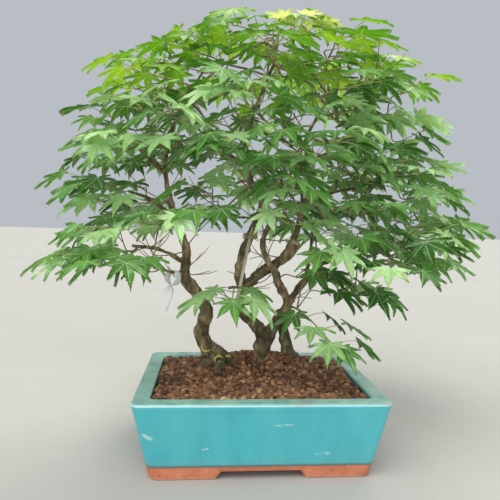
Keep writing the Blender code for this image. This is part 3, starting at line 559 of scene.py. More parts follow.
# Each limb is a row of points in millimetres from the middle of the pot, heights from the edge of
# the soil, with its first and last radius. They are the limbs of the three solids.
TREES = {
    "left_trunk": (
        ((-41, 22, 16), (-58, 20, 32), (-66, 15, 53), (-61, 8, 76), (-65, 4, 92), (-76, 0, 105),
         (-86, -4, 119), (-86, -8, 141), (-88, -7, 161), (-98, -5, 182), (-105, 0, 207),
         (-113, 5, 246), (-107, 8, 294), (-90, 10, 334), 11.0, 1.8),
        ((-86, -8, 137), (-115, -22, 153), (-145, -30, 157), 3.2, 1.6),
        ((-100, -4, 187), (-130, 14, 211), (-158, 22, 221), 3.0, 1.6),
        ((-104, 0, 204), (-112, 40, 219), (-118, 80, 223), 3.0, 1.5),
        ((-111, 4, 239), (-140, -18, 265), (-160, -30, 275), 2.6, 1.4),
        ((-85, -5, 123), (-99, -20, 127), (-120, -34, 133), 1.6, 1.1),
    ),
    "main_trunk": (
        ((8, 28, 21), (11, 25, 46), (-6, 20, 66), (-20, 15, 80), (-17, 15, 101), (-21, 19, 132),
         (-9, 22, 172), (5, 20, 209), (-1, 18, 224), (-12, 15, 242), (-18, 12, 265), (-14, 10, 301),
         (-2, 6, 339), (12, 0, 375), 9.0, 1.8),
        ((12, 26, 25), (22, 15, 60), (34, 8, 79), (36, 5, 95), (26, 2, 112), (20, 0, 129),
         (12, 0, 140), (4, -5, 161), (10, -12, 184), (20, -30, 207), (24, -60, 224), 8.0, 1.6),
        ((-18, 15, 103), (-8, 18, 111), (6, 21, 126), (26, 18, 138), (41, 15, 152), (47, 12, 165),
         6.0, 6.6),
        ((37, 16, 149), (50, 21, 181), (57, 25, 217), (51, 25, 234), (50, 25, 265), (62, 20, 304),
         (84, 15, 343), 4.6, 1.6),
        ((54, 24, 207), (86, 5, 225), (112, -10, 231), 2.8, 1.5),
        ((50, 25, 259), (92, 30, 277), (130, 32, 281), 2.8, 1.5),
        ((-14, 13, 249), (-38, -22, 263), (-50, -58, 265), 2.8, 1.4),
        ((-3, 20, 219), (-10, 62, 241), (-14, 96, 245), 3.0, 1.5),
        ((-20, 17, 107), (-34, 4, 108), (-34, -12, 109), 1.7, 1.2),
        ((34, 8, 82), (42, 0, 86), (47, -8, 85), 1.8, 1.2),
    ),
    "rear_trunk": (
        ((49, 42, 14), (42, 45, 39), (40, 50, 61), (50, 55, 86), (70, 60, 113), (96, 60, 138),
         (128, 54, 160), (160, 44, 175), 8.0, 2.0),
        ((70, 60, 112), (82, 88, 151), (88, 108, 181), 3.2, 1.6),
        ((97, 60, 137), (122, 22, 151), (140, -14, 157), 2.8, 1.5),
    ),
}
ROOT_BEARINGS = {"left_trunk": (190, 265, 330), "main_trunk": (200, 265), "rear_trunk": (20, 300)}
PLANTING_DEPTH = 20 * MM
TAPER = 0.8
STOUT = 2.2 * MM  # wood from this radius is blended into one skin
SKIN_GRAIN = 0.95 * MM  # size of the net that the blended skin is made of
# Callus rings and knobs on the stems: place in millimetres as above, reach and height.
KNOBS = (
    ((-66, 15, 53), 9, 1.6), ((-61, 8, 76), 10, 1.4), ((-76, 0, 105), 9, 1.5), ((-86, -8, 141), 8, 1.1),
    ((-98, -5, 182), 8, 1.2), ((-105, 0, 207), 8, 1.2), ((11, 25, 46), 10, 1.8), ((-20, 15, 80), 10, 1.6),
    ((-21, 19, 132), 8, 1.2), ((-9, 22, 172), 8, 1.0), ((34, 8, 79), 10, 1.8), ((26, 2, 112), 8, 1.3),
    ((20, 0, 129), 8, 1.2), ((41, 15, 152), 9, 1.8), ((6, 21, 126), 9, 1.2), ((57, 25, 217), 8, 1.2),
    ((40, 50, 61), 9, 1.3), ((70, 60, 113), 8, 1.2),
)


def planted(point):
    """A place in millimetres from the middle of the pot and the soil's edge, in the row frame."""
    return Vector(point) * MM + POT_PLACE + UP * SOIL_EDGE


def limb_run(points, first, last, steps):
    path = smooth_path([planted(point) for point in points], steps)
    count = len(path) - 1
    radii = [MM * (first + (last - first) * (i / count) ** TAPER) for i in range(count + 1)]
    return path, radii


def knobbly(point, radius):
    """How far the bark stands out at a place: swellings, ridges along the stem and pores."""
    out = 0.0
    for place, reach, height in KNOBS:
        away = (point - planted(place)).length / (reach * MM)
        if away < 2.2:
            out += height * MM * math.exp(-away * away) * (0.6 + 0.8 * noise.noise(point * 190))
    stretched = Vector((point.x, point.y, point.z * 0.35))
    out += radius * 0.30 * noise.noise(point * 62)
    out += min(1.7 * MM, radius * 0.30) * noise.noise(point * 130 + UP * 3)
    out += min(1.0 * MM, radius * 0.20) * noise.noise(stretched * 300)
    out -= min(0.9 * MM, radius * 0.16) * max(0.0, noise.noise(stretched * 150 + UP * 7) - 0.12) * 3
    out += 0.28 * MM * noise.noise(point * 850)
    return out


def surface_roots(name, foot, reach):
    """Roots that leave the foot of a tree and dip under the soil."""
    for bearing in ROOT_BEARINGS[name]:
        turn = math.radians(bearing)
        path = []
        for out, rise in ((0, 0.5), (1.0, 0.05), (1.7, -0.55), (2.3, -1.1)):
            path.append(foot + reach * Vector((math.cos(turn) * out, math.sin(turn) * out, rise)))
        yield smooth_path(path, 4)


def blended_skin(obj):
    """One closed skin round all the tubes of an object, softened where they meet."""
    remesh = obj.modifiers.new("Blend", "REMESH")
    remesh.mode = "VOXEL"
    remesh.voxel_size = SKIN_GRAIN
    soften = obj.modifiers.new("Soften", "SMOOTH")
    soften.iterations = 5
    soften.factor = 0.5
    skin = bpy.data.meshes.new_from_object(obj.evaluated_get(bpy.context.evaluated_depsgraph_get()))
    obj.modifiers.clear()
    obj.data = skin
    return skin


def make_tree(name, limbs, bark):
    """One tree: its stout wood as one blended, knobbly skin, its thin wood as tubes that enter it."""
    stout = Tubes()
    thin = Tubes()
    wood = []
    for order, (*points, first, last) in enumerate(limbs):
        path, radii = limb_run(points, first, last, 10)
        wood += list(zip(path[4:], radii[4:]))
        if order == 0:
            foot, reach = path[0], radii[0]
            for root in surface_roots(name, foot, reach * 1.22):
                stout.add(root, [reach * 1.22 * (0.48 - 0.28 * i / 12) for i in range(len(root))], 14)
            path = [foot - UP * PLANTING_DEPTH, foot - UP * PLANTING_DEPTH / 2] + path
            near_foot = [r * (1 + 0.22 * max(0.0, 1 - i / 12)) for i, r in enumerate(radii)]
            radii = [reach * 1.3, reach * 1.25] + near_foot
        cut = next((i for i, r in enumerate(radii) if r < STOUT and i > 3), len(radii))
        if first <= 2.5:
            cut = 2
        else:
            stout.add(path[:cut], radii[:cut], 16)
        if cut < len(radii):
            thin.add(path[cut - 2:], radii[cut - 2:], 10, wobble=0.12)
    obj = to_object("stems_of_" + name, stout.points, stout.faces, [])
    skin = blended_skin(obj)
    centres = finder_of([place for place, _ in wood])
    moved = []
    for vertex in skin.vertices:
        _, index, _ = centres.find(vertex.co)
        moved.append(vertex.co + vertex.normal * knobbly(vertex.co, wood[index][1]))
    for vertex, place in zip(skin.vertices, moved):
        vertex.co = place
    skin.materials.clear()
    skin.materials.append(bark)
    skin.shade_smooth()
    settle(obj, "maple_bark", name)
    settle(to_object("limbs_of_" + name, thin.points, thin.faces, [bark]), "maple_bark")
    return [place for place, _ in wood]


# ---------------------------------------------------------------- the solids of the shoots

HUB_NEIGHBOURS = 13  # a leaf's hub meets eleven outline points and two neck points
STALK_POINTS = 3.5 * MM  # points nearer to a hub than this belong to its neck
TWIG_BEHIND = 0.75 * MM  # a twig ends this far behind its shoot


def welded(name):
    """The points of a solid, and the neighbours of each, after joining its split corners."""
    mesh = NODES[name].data
    index, points, seen = {}, [], []
    for vertex in mesh.vertices:
        key = tuple(round(c * 1e5) for c in vertex.co)
        if key not in index:
            index[key] = len(points)
            points.append(vertex.co.copy())
        seen.append(index[key])
    near = [set() for _ in points]
    for polygon in mesh.polygons:
        ring = [seen[i] for i in polygon.vertices]
        for a, b in zip(ring, ring[1:] + ring[:1]):
            if a != b:
                near[a].add(b)
                near[b].add(a)
    return points, near


def read_shoot(name):
    """Reads a shoot's solid back as a spine and a list of leaves."""
    points, near = welded(name)
    hubs = [i for i in range(len(points)) if len(near[i]) == HUB_NEIGHBOURS]
    leaves, used = [], set(hubs)
    for top in hubs:
        for bottom in hubs:
            ring = near[top] & near[bottom]
            if len(ring) != HUB_NEIGHBOURS - 2 or points[top].z <= points[bottom].z:
                continue
            hub = (points[top] + points[bottom]) / 2
            up = (points[top] - points[bottom]).normalized()
            flat = {i: (points[i] - hub) - up * up.dot(points[i] - hub) for i in ring}
            tip = max(ring, key=lambda i: flat[i].length)
            necks = (near[top] | near[bottom]) - ring - {top, bottom}
            starts = {
                i for neck in near[top] - ring for i in near[neck] if (points[i] - hub).length > STALK_POINTS
            } - ring
            start = sum((points[i] for i in starts), Vector()) / len(starts)
            used |= ring | necks
            leaves.append((start, hub, flat[tip].normalized(), up, flat[tip].length))
    rest = np.array([points[i] for i in range(len(points)) if i not in used])
    middle = rest.mean(axis=0)
    axis = np.linalg.svd(rest - middle)[2][0]
    rest = rest[np.argsort((rest - middle) @ axis)]
    stations = [Vector(rest[i : i + 4].mean(axis=0)) for i in range(0, len(rest), 4)]
    if (stations[1] - stations[0]).length < (stations[-1] - stations[-2]).length:
        stations.reverse()
    return stations, leaves


class Wood:
    """The trunks' solids, to read the path of the twig that bears a shoot."""

    def __init__(self, names):
        self.trees = {}
        for name in names:
            points, near = welded(name)
            self.trees[name] = (points, near, finder_of(points))

    def twig(self, base, heading, skeleton):
        """The twig's path from its base at a shoot back into the wood that bears it."""
        end = base - heading * TWIG_BEHIND
        best = None
        for points, near, finder in self.trees.values():
            found = finder.find_n(end, 4)
            span = sum(item[2] for item in found)
            if best is None or span < best[0]:
                best = (span, points, near, {item[1] for item in found})
        _, points, near, ring = best
        path, seen = [base, end], set(ring)
        for _ in range(2):
            ring = {j for i in ring for j in near[i]} - seen
            if not 3 <= len(ring) <= 5:
                break
            seen |= ring
            path.append(sum((points[i] for i in ring), Vector()) / len(ring))
        place, _, _ = skeleton.find(path[-1] + (path[-1] - path[-2]) * 0.6)
        path.append(place)
        return path


# ---------------------------------------------------------------- leaves

# Lobes of a palmate leaf: bearing in degrees and length in shares of the middle lobe's, with the
# bays between them: bearing and distance of each bay's foot.
LOBES = ((0, 1.0), (41, 0.90), (84, 0.67), (122, 0.40))
BAYS = ((20.5, 0.31), (62.5, 0.27), (103, 0.20), (150, 0.11))
LOBE_HALF_WIDTH = 0.104  # widest part of the middle lobe, in shares of the leaf's length
TEETH = 8  # along each side of a lobe
TOOTH = 0.027  # height of a tooth, in shares of the leaf's length


def half_lobe(bearing, reach, bay_bearing, bay_reach, chance):
    """Stations from hub to tip: point on the midrib, point on the edge (x forward, y left)."""
    turn, bay_turn = math.radians(bearing), math.radians(bay_bearing)
    axis = np.array((math.cos(turn), math.sin(turn)))
    side = np.array((-axis[1], axis[0])) * (1 if bay_turn > turn else -1)
    bay = np.array((math.cos(bay_turn), math.sin(bay_turn))) * bay_reach
    along, across = bay @ axis, bay @ side
    stations = []
    for share in (0.03, 0.3, 0.65, 1.0):
        stations.append((axis * along * share, bay * share))
    teeth = max(4, round(TEETH * reach))
    for tooth in range(teeth):
        for part, height in ((0.12, -0.4), (0.68, 1.0)):
            u = (tooth + part) / teeth
            u = min(0.985, max(0.005, u + chance.uniform(-0.02, 0.02)))
            belly = math.sin(math.pi * min(1, u * 1.05) ** 0.8) * (1 - u) ** 0.55
            body = across * (1 - u) ** 1.1 + LOBE_HALF_WIDTH * reach * 0.62 * belly
            width = body + TOOTH * height * reach * (1 - 0.6 * u) * chance.uniform(0.7, 1.3)
            place = along + (reach - along) * u
            forward = TOOTH * 1.1 * (height > 0)
            stations.append((axis * place, axis * (place + forward) + side * max(width, 0.004)))
    stations.append((axis * (reach - 0.008), axis * reach + side * 0.0015))
    return stations


def leaf_template(seed, lobes):
    """One leaf laid flat at unit length: points, faces and the place of each point in its lobe."""
    chance = random.Random(seed)
    shapes = []
    for number, (bearing, reach) in enumerate(LOBES[:lobes]):
        swing = chance.uniform(-2.5, 2.5) if number else 0
        for mirror in (1, -1):
            length = reach * chance.uniform(0.94, 1.06)
            outer = BAYS[number] if number < lobes - 1 else (bearing + 34, 0.11)
            inner = BAYS[number - 1] if number else (-BAYS[0][0], BAYS[0][1])
            if number or mirror == 1:  # the middle lobe is its own mirror image
                for bay, depth in (outer, inner):
                    shapes.append(((bearing + swing) * mirror, length, bay * mirror, depth))
    points, faces, places = [], [], []
    for shape in shapes:
        stations = half_lobe(*shape, chance)
        first = len(points)
        for rib, edge in stations:
            for share in (0.0, 0.5, 1.0):
                points.append(rib + (edge - rib) * share)
                places.append((np.hypot(*rib), np.hypot(*(edge - rib)) * share, share))
        turned_over = shape[2] > shape[0]
        for a, b, c, d in grid_faces(len(stations) - 1, 2):
            face = (first + a, first + b, first + c, first + d)
            faces.append(face[::-1] if turned_over else face)
    return np.array(points), np.array(faces), np.array(places)


TEMPLATES = [leaf_template(seed, lobes) for seed, lobes in ((1, 4), (2, 4), (3, 4), (4, 3), (5, 4), (6, 4))]


class Leaves:
    """Blades of one shoot in one mesh, with their stalks and stem."""

    def __init__(self):
        self.points, self.faces, self.places, self.tones = [], [], [], []
        self.count = 0
        self.stems = Tubes()

    def blade(self, hub, forward, up, length, tone, chance, droop=0.22):
        """One of the templates, drooping, folded along its ribs, twisted, wavy and bent sideways."""
        flat, faces, places = TEMPLATES[chance.randrange(len(TEMPLATES))]
        x, y = flat[:, 0], flat[:, 1]
        reach = np.hypot(x, y)
        height = -(droop + chance.uniform(-0.10, 0.10)) * reach ** 1.5
        height += chance.uniform(0.10, 0.24) * reach * places[:, 2] * (1 - 0.5 * reach)
        height += chance.uniform(-0.16, 0.16) * x * y
        wave = chance.uniform(0.008, 0.02) * np.sin(x * chance.uniform(7, 12) + chance.uniform(0, 6))
        height += wave * np.cos(y * chance.uniform(7, 12) + chance.uniform(0, 6)) * np.minimum(1, reach * 3)
        side = y + chance.uniform(-0.10, 0.10) * reach * reach
        shrink = 1 - 0.10 * reach * reach
        laid = np.stack((x * shrink, side * shrink, height), axis=1)
        self.points.append(np.array(hub) + length * laid @ np.array((forward, up.cross(forward), up)))
        self.faces.append(faces + self.count)
        self.places.append(places * (length / MM, length / MM, 1))
        chance.random()  # keeps the order of draws
        self.tones += [(tone, 0.0, 0.0, 1.0)] * len(flat)
        self.count += len(flat)

    def stalk(self, start, hub, radius, lift):
        middle = start.lerp(hub, 0.5) + UP * lift
        path = smooth_path([start, middle, hub], 4)
        self.stems.add(path, [radius * (1.25 - 0.4 * i / 8) for i in range(9)], 6)

    def finish(self, name, slot, leaf, stem, *replaced):
        blades = self.count
        spare = len(self.stems.points)
        points = np.concatenate([*self.points, self.stems.points])
        faces = [*np.concatenate(self.faces), *([i + blades for i in f] for f in self.stems.faces)]
        mesh = to_object(name, points, faces, [leaf, stem]).data
        sides = len(self.stems.faces)
        mesh.polygons.foreach_set("material_index", [0] * (len(faces) - sides) + [1] * sides)
        place = mesh.attributes.new("in_lobe", "FLOAT_VECTOR", "POINT")
        place.data.foreach_set("vector", np.concatenate([*self.places, np.zeros((spare, 3))]).ravel())
        tone = mesh.attributes.new("leaf_tone", "FLOAT_COLOR", "POINT")
        tone.data.foreach_set("color", np.array(self.tones + [(0.5, 0, 0, 1)] * spare).ravel())
        settle(bpy.data.objects[name], slot, *replaced)


# ---------------------------------------------------------------- finishes
#
# `where` is the place on the piece in metres. Sockets go by number where their names repeat: MapRange takes a
# value at 0, its range at 1 and 2 and the new range at 3 and 4, and Mix takes how much of the
# second colour at 0 and the colours at 6 and 7.


def every(size):
    """The scale of a noise whose largest lumps are this many millimetres across."""
    return 1 / (size * MM)


BARK_STRETCH = (1, 1, 0.28)  # bark's marks run along the stem

# Scuffs in the glaze: middle and reach in millimetres, slope in degrees.
SCUFFS = (
    ((-117, -96, 50), (9, 12, 3.0), -32), ((-59, -96, 36), (5, 12, 1.8), 8),
    ((63, -94, 29), (10, 12, 2.6), 4), ((20, -99, 62), (14, 12, 1.6), 3),
    ((122, 20, 44), (10, 12, 2.6), 10), ((-30, 96, 52), (9, 12, 2.4), -12),
)


def turquoise_glaze():
    # Copper glaze, fired glossy on stoneware: soft turquoise with faint runs down the wall, dark
    # where it pools over the bare band, pale where it breaks over the rim and with a painted
    # highlight along the rim's rounded edge, dull on the rim's top.
    material, tree, shader, _ = new_material("turquoise_copper_glaze")
    where = add(tree, "TexCoord").outputs["Object"]
    height = add(tree, "SeparateXYZ", {0: where}).outputs["Z"]
    down = add(tree, "Mapping", {"Vector": where, "Scale": (1, 1, 0.22)})
    runs = add(tree, "TexNoise", {"Vector": down, "Scale": every(22), "Detail": 4.0})
    wall = add(tree, "ValToRGB", {0: runs, "stops": ((0.30, "3d9ba7"), (0.50, "42a6b1"), (0.72, "4eafb8"))})
    clouds, specks, wear, thin, ripple = [
        add(tree, "TexNoise", {"Vector": where, "Scale": every(size), "Detail": detail})
        for size, detail in ((62, 3.0), (2.4, 2.0), (4.8, 4.0), (42, 5.0), (17, 2.0))
    ]
    # What covers the wall, from the first coat to the last: how much of it, and its colour.
    covers = [
        (add(tree, "MapRange", {0: clouds, 1: 0.38, 2: 0.66, 3: 0.0, 4: 0.45}), "4daaa8"),
        (add(tree, "MapRange", {0: height, 1: 30 * MM, 2: 17 * MM, 3: 0.0, 4: 0.35}), "629b97"),
        (add(tree, "MapRange", {0: specks, 1: 0.70, 2: 0.76, 3: 0.0, 4: 0.45}), "2b7783"),
    ]
    worn = add(tree, "MapRange", {0: wear, 1: 0.42, 2: 0.58})
    for middle, reach, slope in SCUFFS:
        moved = add(tree, "Mapping", {"Vector": where, "Location": [-c * MM for c in middle]})
        turned_to = add(tree, "Mapping", {"Vector": moved, "Rotation": (0, math.radians(slope), 0)})
        sized = add(tree, "Mapping", {"Vector": turned_to, "Scale": [1 / (c * MM) for c in reach]})
        spot = add(tree, "TexGradient", {"gradient_type": "SPHERICAL", "Vector": sized}).outputs[1]
        core = add(tree, "MapRange", {0: spot, 1: 0.1, 2: 0.5, 3: 0.0, 4: 0.75})
        covers.append((add(tree, "Math", {"operation": "MULTIPLY", 0: core, 1: worn}), "aecdc7"))
    pooled = add(tree, "MapRange", {0: height, 1: 18.5 * MM, 2: 16 * MM, 3: 0.0, 4: 0.75})
    # The band over the rim's rounded edge: thin glaze breaking over it, and partly a painted highlight.
    edge = add(tree, "MapRange", {0: height, 1: 81.8 * MM, 2: 83.2 * MM})
    rising = add(tree, "MapRange", {0: height, 1: 83.4 * MM, 2: 84.5 * MM, 3: 0.0, 4: 1.1})
    line = add(tree, "Math", {"operation": "PINGPONG", 0: rising, 1: 0.55})
    drawn = add(tree, "MapRange", {0: line, 1: 0.0, 2: 0.5, 3: 0.0, 4: 0.7})
    weather = add(tree, "TexNoise", {"Vector": where, "Scale": every(18), "Detail": 6.0, "Roughness": 0.65})
    top = add(tree, "ValToRGB", {0: weather, "stops": ((0.30, "4b7f7a"), (0.50, "6a9c90"), (0.70, "8bab98"))})
    flat = add(tree, "MapRange", {0: height, 1: 84.2 * MM, 2: 84.7 * MM})
    bare = add(tree, "MapRange", {0: thin, 1: 0.56, 2: 0.70, 3: 0.0, 4: 0.55})
    broken = add(tree, "Math", {"operation": "MULTIPLY", 0: bare, 1: edge})
    # The pale a3cfd2 over the rim's edge is thin glaze and, in part, a painted highlight.
    covers += [(pooled, "426974"), (edge, "a3cfd2"), (drawn, "3a5f66"), (flat, top), (broken, "9c8170")]
    for cover, tint in covers:
        wall = add(tree, "Mix", {"data_type": "RGBA", 0: cover, 6: wall, 7: tint})
    add_to(tree, shader, {"Base Color": wall, "Coat Weight": 0.25, "Coat Roughness": 0.08})
    add_to(tree, shader, {"Roughness": add(tree, "MapRange", {0: flat, 3: 0.15, 4: 0.45})})
    bumps = add(tree, "Bump", {"Height": ripple, "Strength": 0.25, "Distance": 1.5 * MM})
    add_to(tree, shader, {"Normal": bumps})
    return material


def bare_stoneware():
    # Unglazed stoneware clay, wiped with a sponge: dry terracotta, paler where the feet are worn,
    # dark just under the glaze, with specks of dirt, and browner inside.
    material, tree, shader, _ = new_material("bare_terracotta_stoneware")
    where = add(tree, "TexCoord").outputs["Object"]
    height = add(tree, "SeparateXYZ", {0: where}).outputs["Z"]
    lumps = add(tree, "TexNoise", {"Vector": where, "Scale": every(17), "Detail": 8.0, "Roughness": 0.7})
    body = add(tree, "ValToRGB", {0: lumps, "stops": ((0.28, "a96343"), (0.5, "bd7352"), (0.75, "ca8766"))})
    dirt = add(tree, "TexNoise", {"Vector": where, "Scale": every(3.8), "Detail": 3.0})
    for source, start, end, most, tint in (
        (height, 3.5 * MM, 0.5 * MM, 0.55, "dcb394"), (height, 13.5 * MM, 15.3 * MM, 0.75, "6d5a56"),
        (dirt, 0.66, 0.72, 0.7, "54392c"), (height, 60 * MM, 72 * MM, 1.0, "8f5a42"),
    ):
        cover = add(tree, "MapRange", {0: source, 1: start, 2: end, 3: 0.0, 4: most})
        body = add(tree, "Mix", {"data_type": "RGBA", 0: cover, 6: body, 7: tint})
    add_to(tree, shader, {"Base Color": body, "Roughness": 0.86})
    grog = add(tree, "TexNoise", {"Vector": where, "Scale": every(1.4), "Detail": 4.0})
    bumps = add(tree, "Bump", {"Height": grog, "Strength": 0.5, "Distance": 0.5 * MM})
    add_to(tree, shader, {"Normal": bumps})
    return material


def baked_clay(name, stops):
    # Clay dried and baked in lumps: each lump keeps one red-brown or tan, under uneven dust.
    material, tree, shader, _ = new_material(name)
    where = add(tree, "TexCoord").outputs["Object"]
    lump = add(tree, "NewGeometry").outputs["Random Per Island"]
    tone = add(tree, "ValToRGB", {0: lump, "stops": stops})
    tone.color_ramp.interpolation = "CONSTANT"
    dust = add(tree, "TexNoise", {"Vector": where, "Scale": every(2.1), "Detail": 5.0, "Roughness": 0.7})
    light = add(tree, "MapRange", {0: dust, 1: 0.35, 2: 0.68, 3: 0.40, 4: 1.05})
    body = add(tree, "HueSaturation", {"Color": tone, "Value": light})
    add_to(tree, shader, {"Base Color": body, "Roughness": 0.92})
    pits = add(tree, "TexNoise", {"Vector": where, "Scale": every(1.1), "Detail": 4.0})
    bumps = add(tree, "Bump", {"Height": pits, "Strength": 0.6, "Distance": 0.5 * MM})
    add_to(tree, shader, {"Normal": bumps})
    return material


def maple_bark(name, tones, relief):
    # Living maple bark, weathered: grey-brown with fine cracks along the stem, mossy and almost
    # black towards the soil, with a few pale spots of lichen.
    material, tree, shader, _ = new_material(name)
    where = add(tree, "TexCoord").outputs["Object"]
    height = add(tree, "SeparateXYZ", {0: where}).outputs["Z"]
    along = add(tree, "Mapping", {"Vector": where, "Scale": BARK_STRETCH})
    streaks = add(tree, "TexNoise", {"Vector": along, "Scale": every(7.7), "Detail": 8.0, "Roughness": 0.68})
    body = add(tree, "ValToRGB", {0: streaks, "stops": tuple(zip((0.28, 0.44, 0.58, 0.74), tones))})
    moss = add(tree, "TexNoise", {"Vector": where, "Scale": every(26), "Detail": 4.0})
    mossy = add(tree, "MapRange", {0: moss, 1: 0.46, 2: 0.60, 3: 0.0, 4: 0.68})
    body = add(tree, "Mix", {"data_type": "RGBA", 0: mossy, 6: body, 7: "4b4529"})
    # Patches darker, to almost black, from 165 mm down towards the soil.
    low = add(tree, "MapRange", {0: height, 1: 165 * MM, 2: 92 * MM})
    patchy = add(tree, "MapRange", {0: moss, 1: 0.42, 2: 0.62, 3: 0.45, 4: 1.0})
    darker_low = add(tree, "Math", {"operation": "MULTIPLY", 0: low, 1: patchy})
    body = add(tree, "Mix", {"data_type": "RGBA", 0: darker_low, 6: body, 7: "32331a"})
    cracks = add(tree, "TexNoise", {"Vector": along, "Scale": every(2.4), "Detail": 5.0, "Roughness": 0.7})
    shade = add(tree, "MapRange", {0: cracks, 1: 0.30, 2: 0.5, 3: 0.55, 4: 1.0})
    body = add(tree, "HueSaturation", {"Color": body, "Value": shade})
    lichen = add(tree, "TexNoise", {"Vector": where, "Scale": every(4.8), "Detail": 3.0})
    spots = add(tree, "MapRange", {0: lichen, 1: 0.665, 2: 0.70, 3: 0.0, 4: 0.6})
    body = add(tree, "Mix", {"data_type": "RGBA", 0: spots, 6: body, 7: "b9b49a"})
    add_to(tree, shader, {"Base Color": body, "Roughness": 0.82})
    ridges = add(tree, "TexNoise", {"Vector": along, "Scale": every(3.3), "Detail": 8.0, "Roughness": 0.65})
    bumps = add(tree, "Bump", {"Height": ridges, "Strength": relief, "Distance": 1.6 * MM})
    add_to(tree, shader, {"Normal": bumps})
    return material


def maple_leaf(name, tones, vein, through, roughness):
    # Fresh leaf: a waxy top that mirrors the sky softly, a tone of its own, paler veins pressed
    # in, and light from above glowing through it. On the mature leaf the palest tone is partly painted sheen.
    material, tree, shader, output = new_material(name)
    where = add(tree, "TexCoord").outputs["Object"]
    own = add(tree, "SeparateColor", {0: add(tree, "Attribute", {"attribute_name": "leaf_tone"})})
    base = add(tree, "ValToRGB", {0: own.outputs["Red"], "stops": tuple(zip((0.0, 0.5, 1.0), tones))})
    in_lobe = add(tree, "Attribute", {"attribute_name": "in_lobe"}).outputs["Vector"]
    lobe = add(tree, "SeparateXYZ", {0: in_lobe})
    # Side veins run forward from the midrib, one every three millimetres.
    slant = add(tree, "Math", {"operation": "MULTIPLY", 0: lobe.outputs["Y"], 1: 1.15})
    ahead = add(tree, "Math", {"operation": "SUBTRACT", 0: lobe.outputs["X"], 1: slant})
    wave = add(tree, "Math", {"operation": "PINGPONG", 0: ahead, 1: 1.5})
    side_vein = add(tree, "MapRange", {0: wave, 1: 0.0, 2: 0.32, 3: 0.55, 4: 0.0})
    midrib = add(tree, "MapRange", {0: lobe.outputs["Y"], 1: 0.25, 2: 0.75, 3: 1.0, 4: 0.0})
    veins = add(tree, "Math", {"operation": "MAXIMUM", 0: side_vein, 1: midrib})
    paler = add(tree, "Math", {"operation": "MULTIPLY", 0: veins, 1: 0.36})
    body = add(tree, "Mix", {"data_type": "RGBA", 0: paler, 6: base, 7: vein})
    mottle = add(tree, "TexNoise", {"Vector": where, "Scale": every(6), "Detail": 3.0})
    light = add(tree, "MapRange", {0: mottle, 1: 0.3, 2: 0.75, 3: 0.86, 4: 1.12})
    body = add(tree, "HueSaturation", {"Color": body, "Value": light})
    add_to(tree, shader, {"Base Color": body, "Roughness": roughness, "Specular IOR Level": 0.55})
    bumps = add(tree, "Bump", {"Height": veins, "Strength": 0.35, "Distance": 0.4 * MM})
    add_to(tree, shader, {"Normal": bumps})
    glow = add(tree, "HueSaturation", {"Color": body, "Hue": 0.488, "Saturation": 1.12, "Value": 1.25})
    passed = add(tree, "BsdfTranslucent", {"Color": glow})
    both = add(tree, "MixShader", {0: through, 1: shader, 2: passed})
    add_to(tree, output, {"Surface": both})
    return material


def one_grain(name, lump, stops, roughness, relief=0.3, stretch=(1, 1, 1), metallic=0.0, through=0.0):
    # A finish that one noise describes: the size of its lumps in millimetres, its tones, how dull
    # it is, its relief and, for fibres, how far they are drawn out.
    material, tree, shader, output = new_material(name)
    where = add(tree, "Mapping", {"Vector": add(tree, "TexCoord").outputs["Object"], "Scale": stretch})
    lumps = add(tree, "TexNoise", {"Vector": where, "Scale": every(lump), "Detail": 6.0, "Roughness": 0.65})
    body = add(tree, "ValToRGB", {0: lumps, "stops": stops})
    add_to(tree, shader, {"Base Color": body, "Roughness": roughness, "Metallic": metallic})
    fine = add(tree, "TexNoise", {"Vector": where, "Scale": every(lump / 2.5), "Detail": 4.0})
    bumps = add(tree, "Bump", {"Height": fine, "Strength": relief, "Distance": 0.4 * MM})
    add_to(tree, shader, {"Normal": bumps})
    if through:
        passed = add(tree, "BsdfTranslucent", {"Color": body})
        add_to(tree, output, {"Surface": add(tree, "MixShader", {0: through, 1: shader, 2: passed})})
    return material


GLAZE = turquoise_glaze()
CLAY = bare_stoneware()
GRANULE = baked_clay("baked_red_clay", (
    (0.0, "6c4932"), (0.20, "80583d"), (0.38, "916747"), (0.54, "4f3625"),
    (0.68, "996e4d"), (0.84, "b08260"), (0.975, "bf9869"), (0.994, "cdbb80")))
PALE_GRANULE = baked_clay("baked_pale_clay", (
    (0.0, "c9ad7c"), (0.35, "bb9a6a"), (0.6, "d9c68f"), (0.8, "a98257")))
# Damp clay dust between the granules, painted nearly black as the shade in the gaps between them.
BED_PAINTED_SHADE = one_grain("damp_clay_dust_painted_shade", 3.3, ((0.3, "23170f"), (0.7, "3d291c")), 0.95)
BARK = maple_bark("weathered_maple_bark", ("231f12", "5e4f37", "a08a68", "dccdb2"), 1.0)
TWIG_BARK = maple_bark("smooth_maple_twig_bark", ("5f523b", "8b7a5f", "a39177", "beae97"), 0.4)
# The palest mature tone, b4da9a, is partly painted sheen: a pale blue-green for the sky mirrored on waxy
# tops.
LEAF = maple_leaf("mature_maple_leaf", ("2e601e", "5f9640", "b4da9a"), "c6deb0", 0.34, 0.30)
YOUNG_LEAF = maple_leaf("young_maple_leaf", ("4b8528", "68a033", "8fbb45"), "bcd888", 0.42, 0.36)
NEWEST_LEAF = maple_leaf("newly_opened_maple_leaf", ("b9cc74", "cdda86", "dfe8a2"), "e9eeb8", 0.5, 0.4)
# Soft green shoot bark: smooth, with a reddish tinge in places.
SHOOT = one_grain("green_maple_shoot_bark", 5, (
    (0.3, "8d9a58"), (0.55, "a3a765"), (0.8, "a9825a")), 0.5, 0.15)
# Callus: new bark that has swollen over a wound, yellow-green and smooth.
CALLUS_BARK = one_grain("green_callus_bark", 3.8, (
    (0.3, "8d8a3e"), (0.55, "b5ab55"), (0.8, "cdc27a")), 0.75, 0.4)
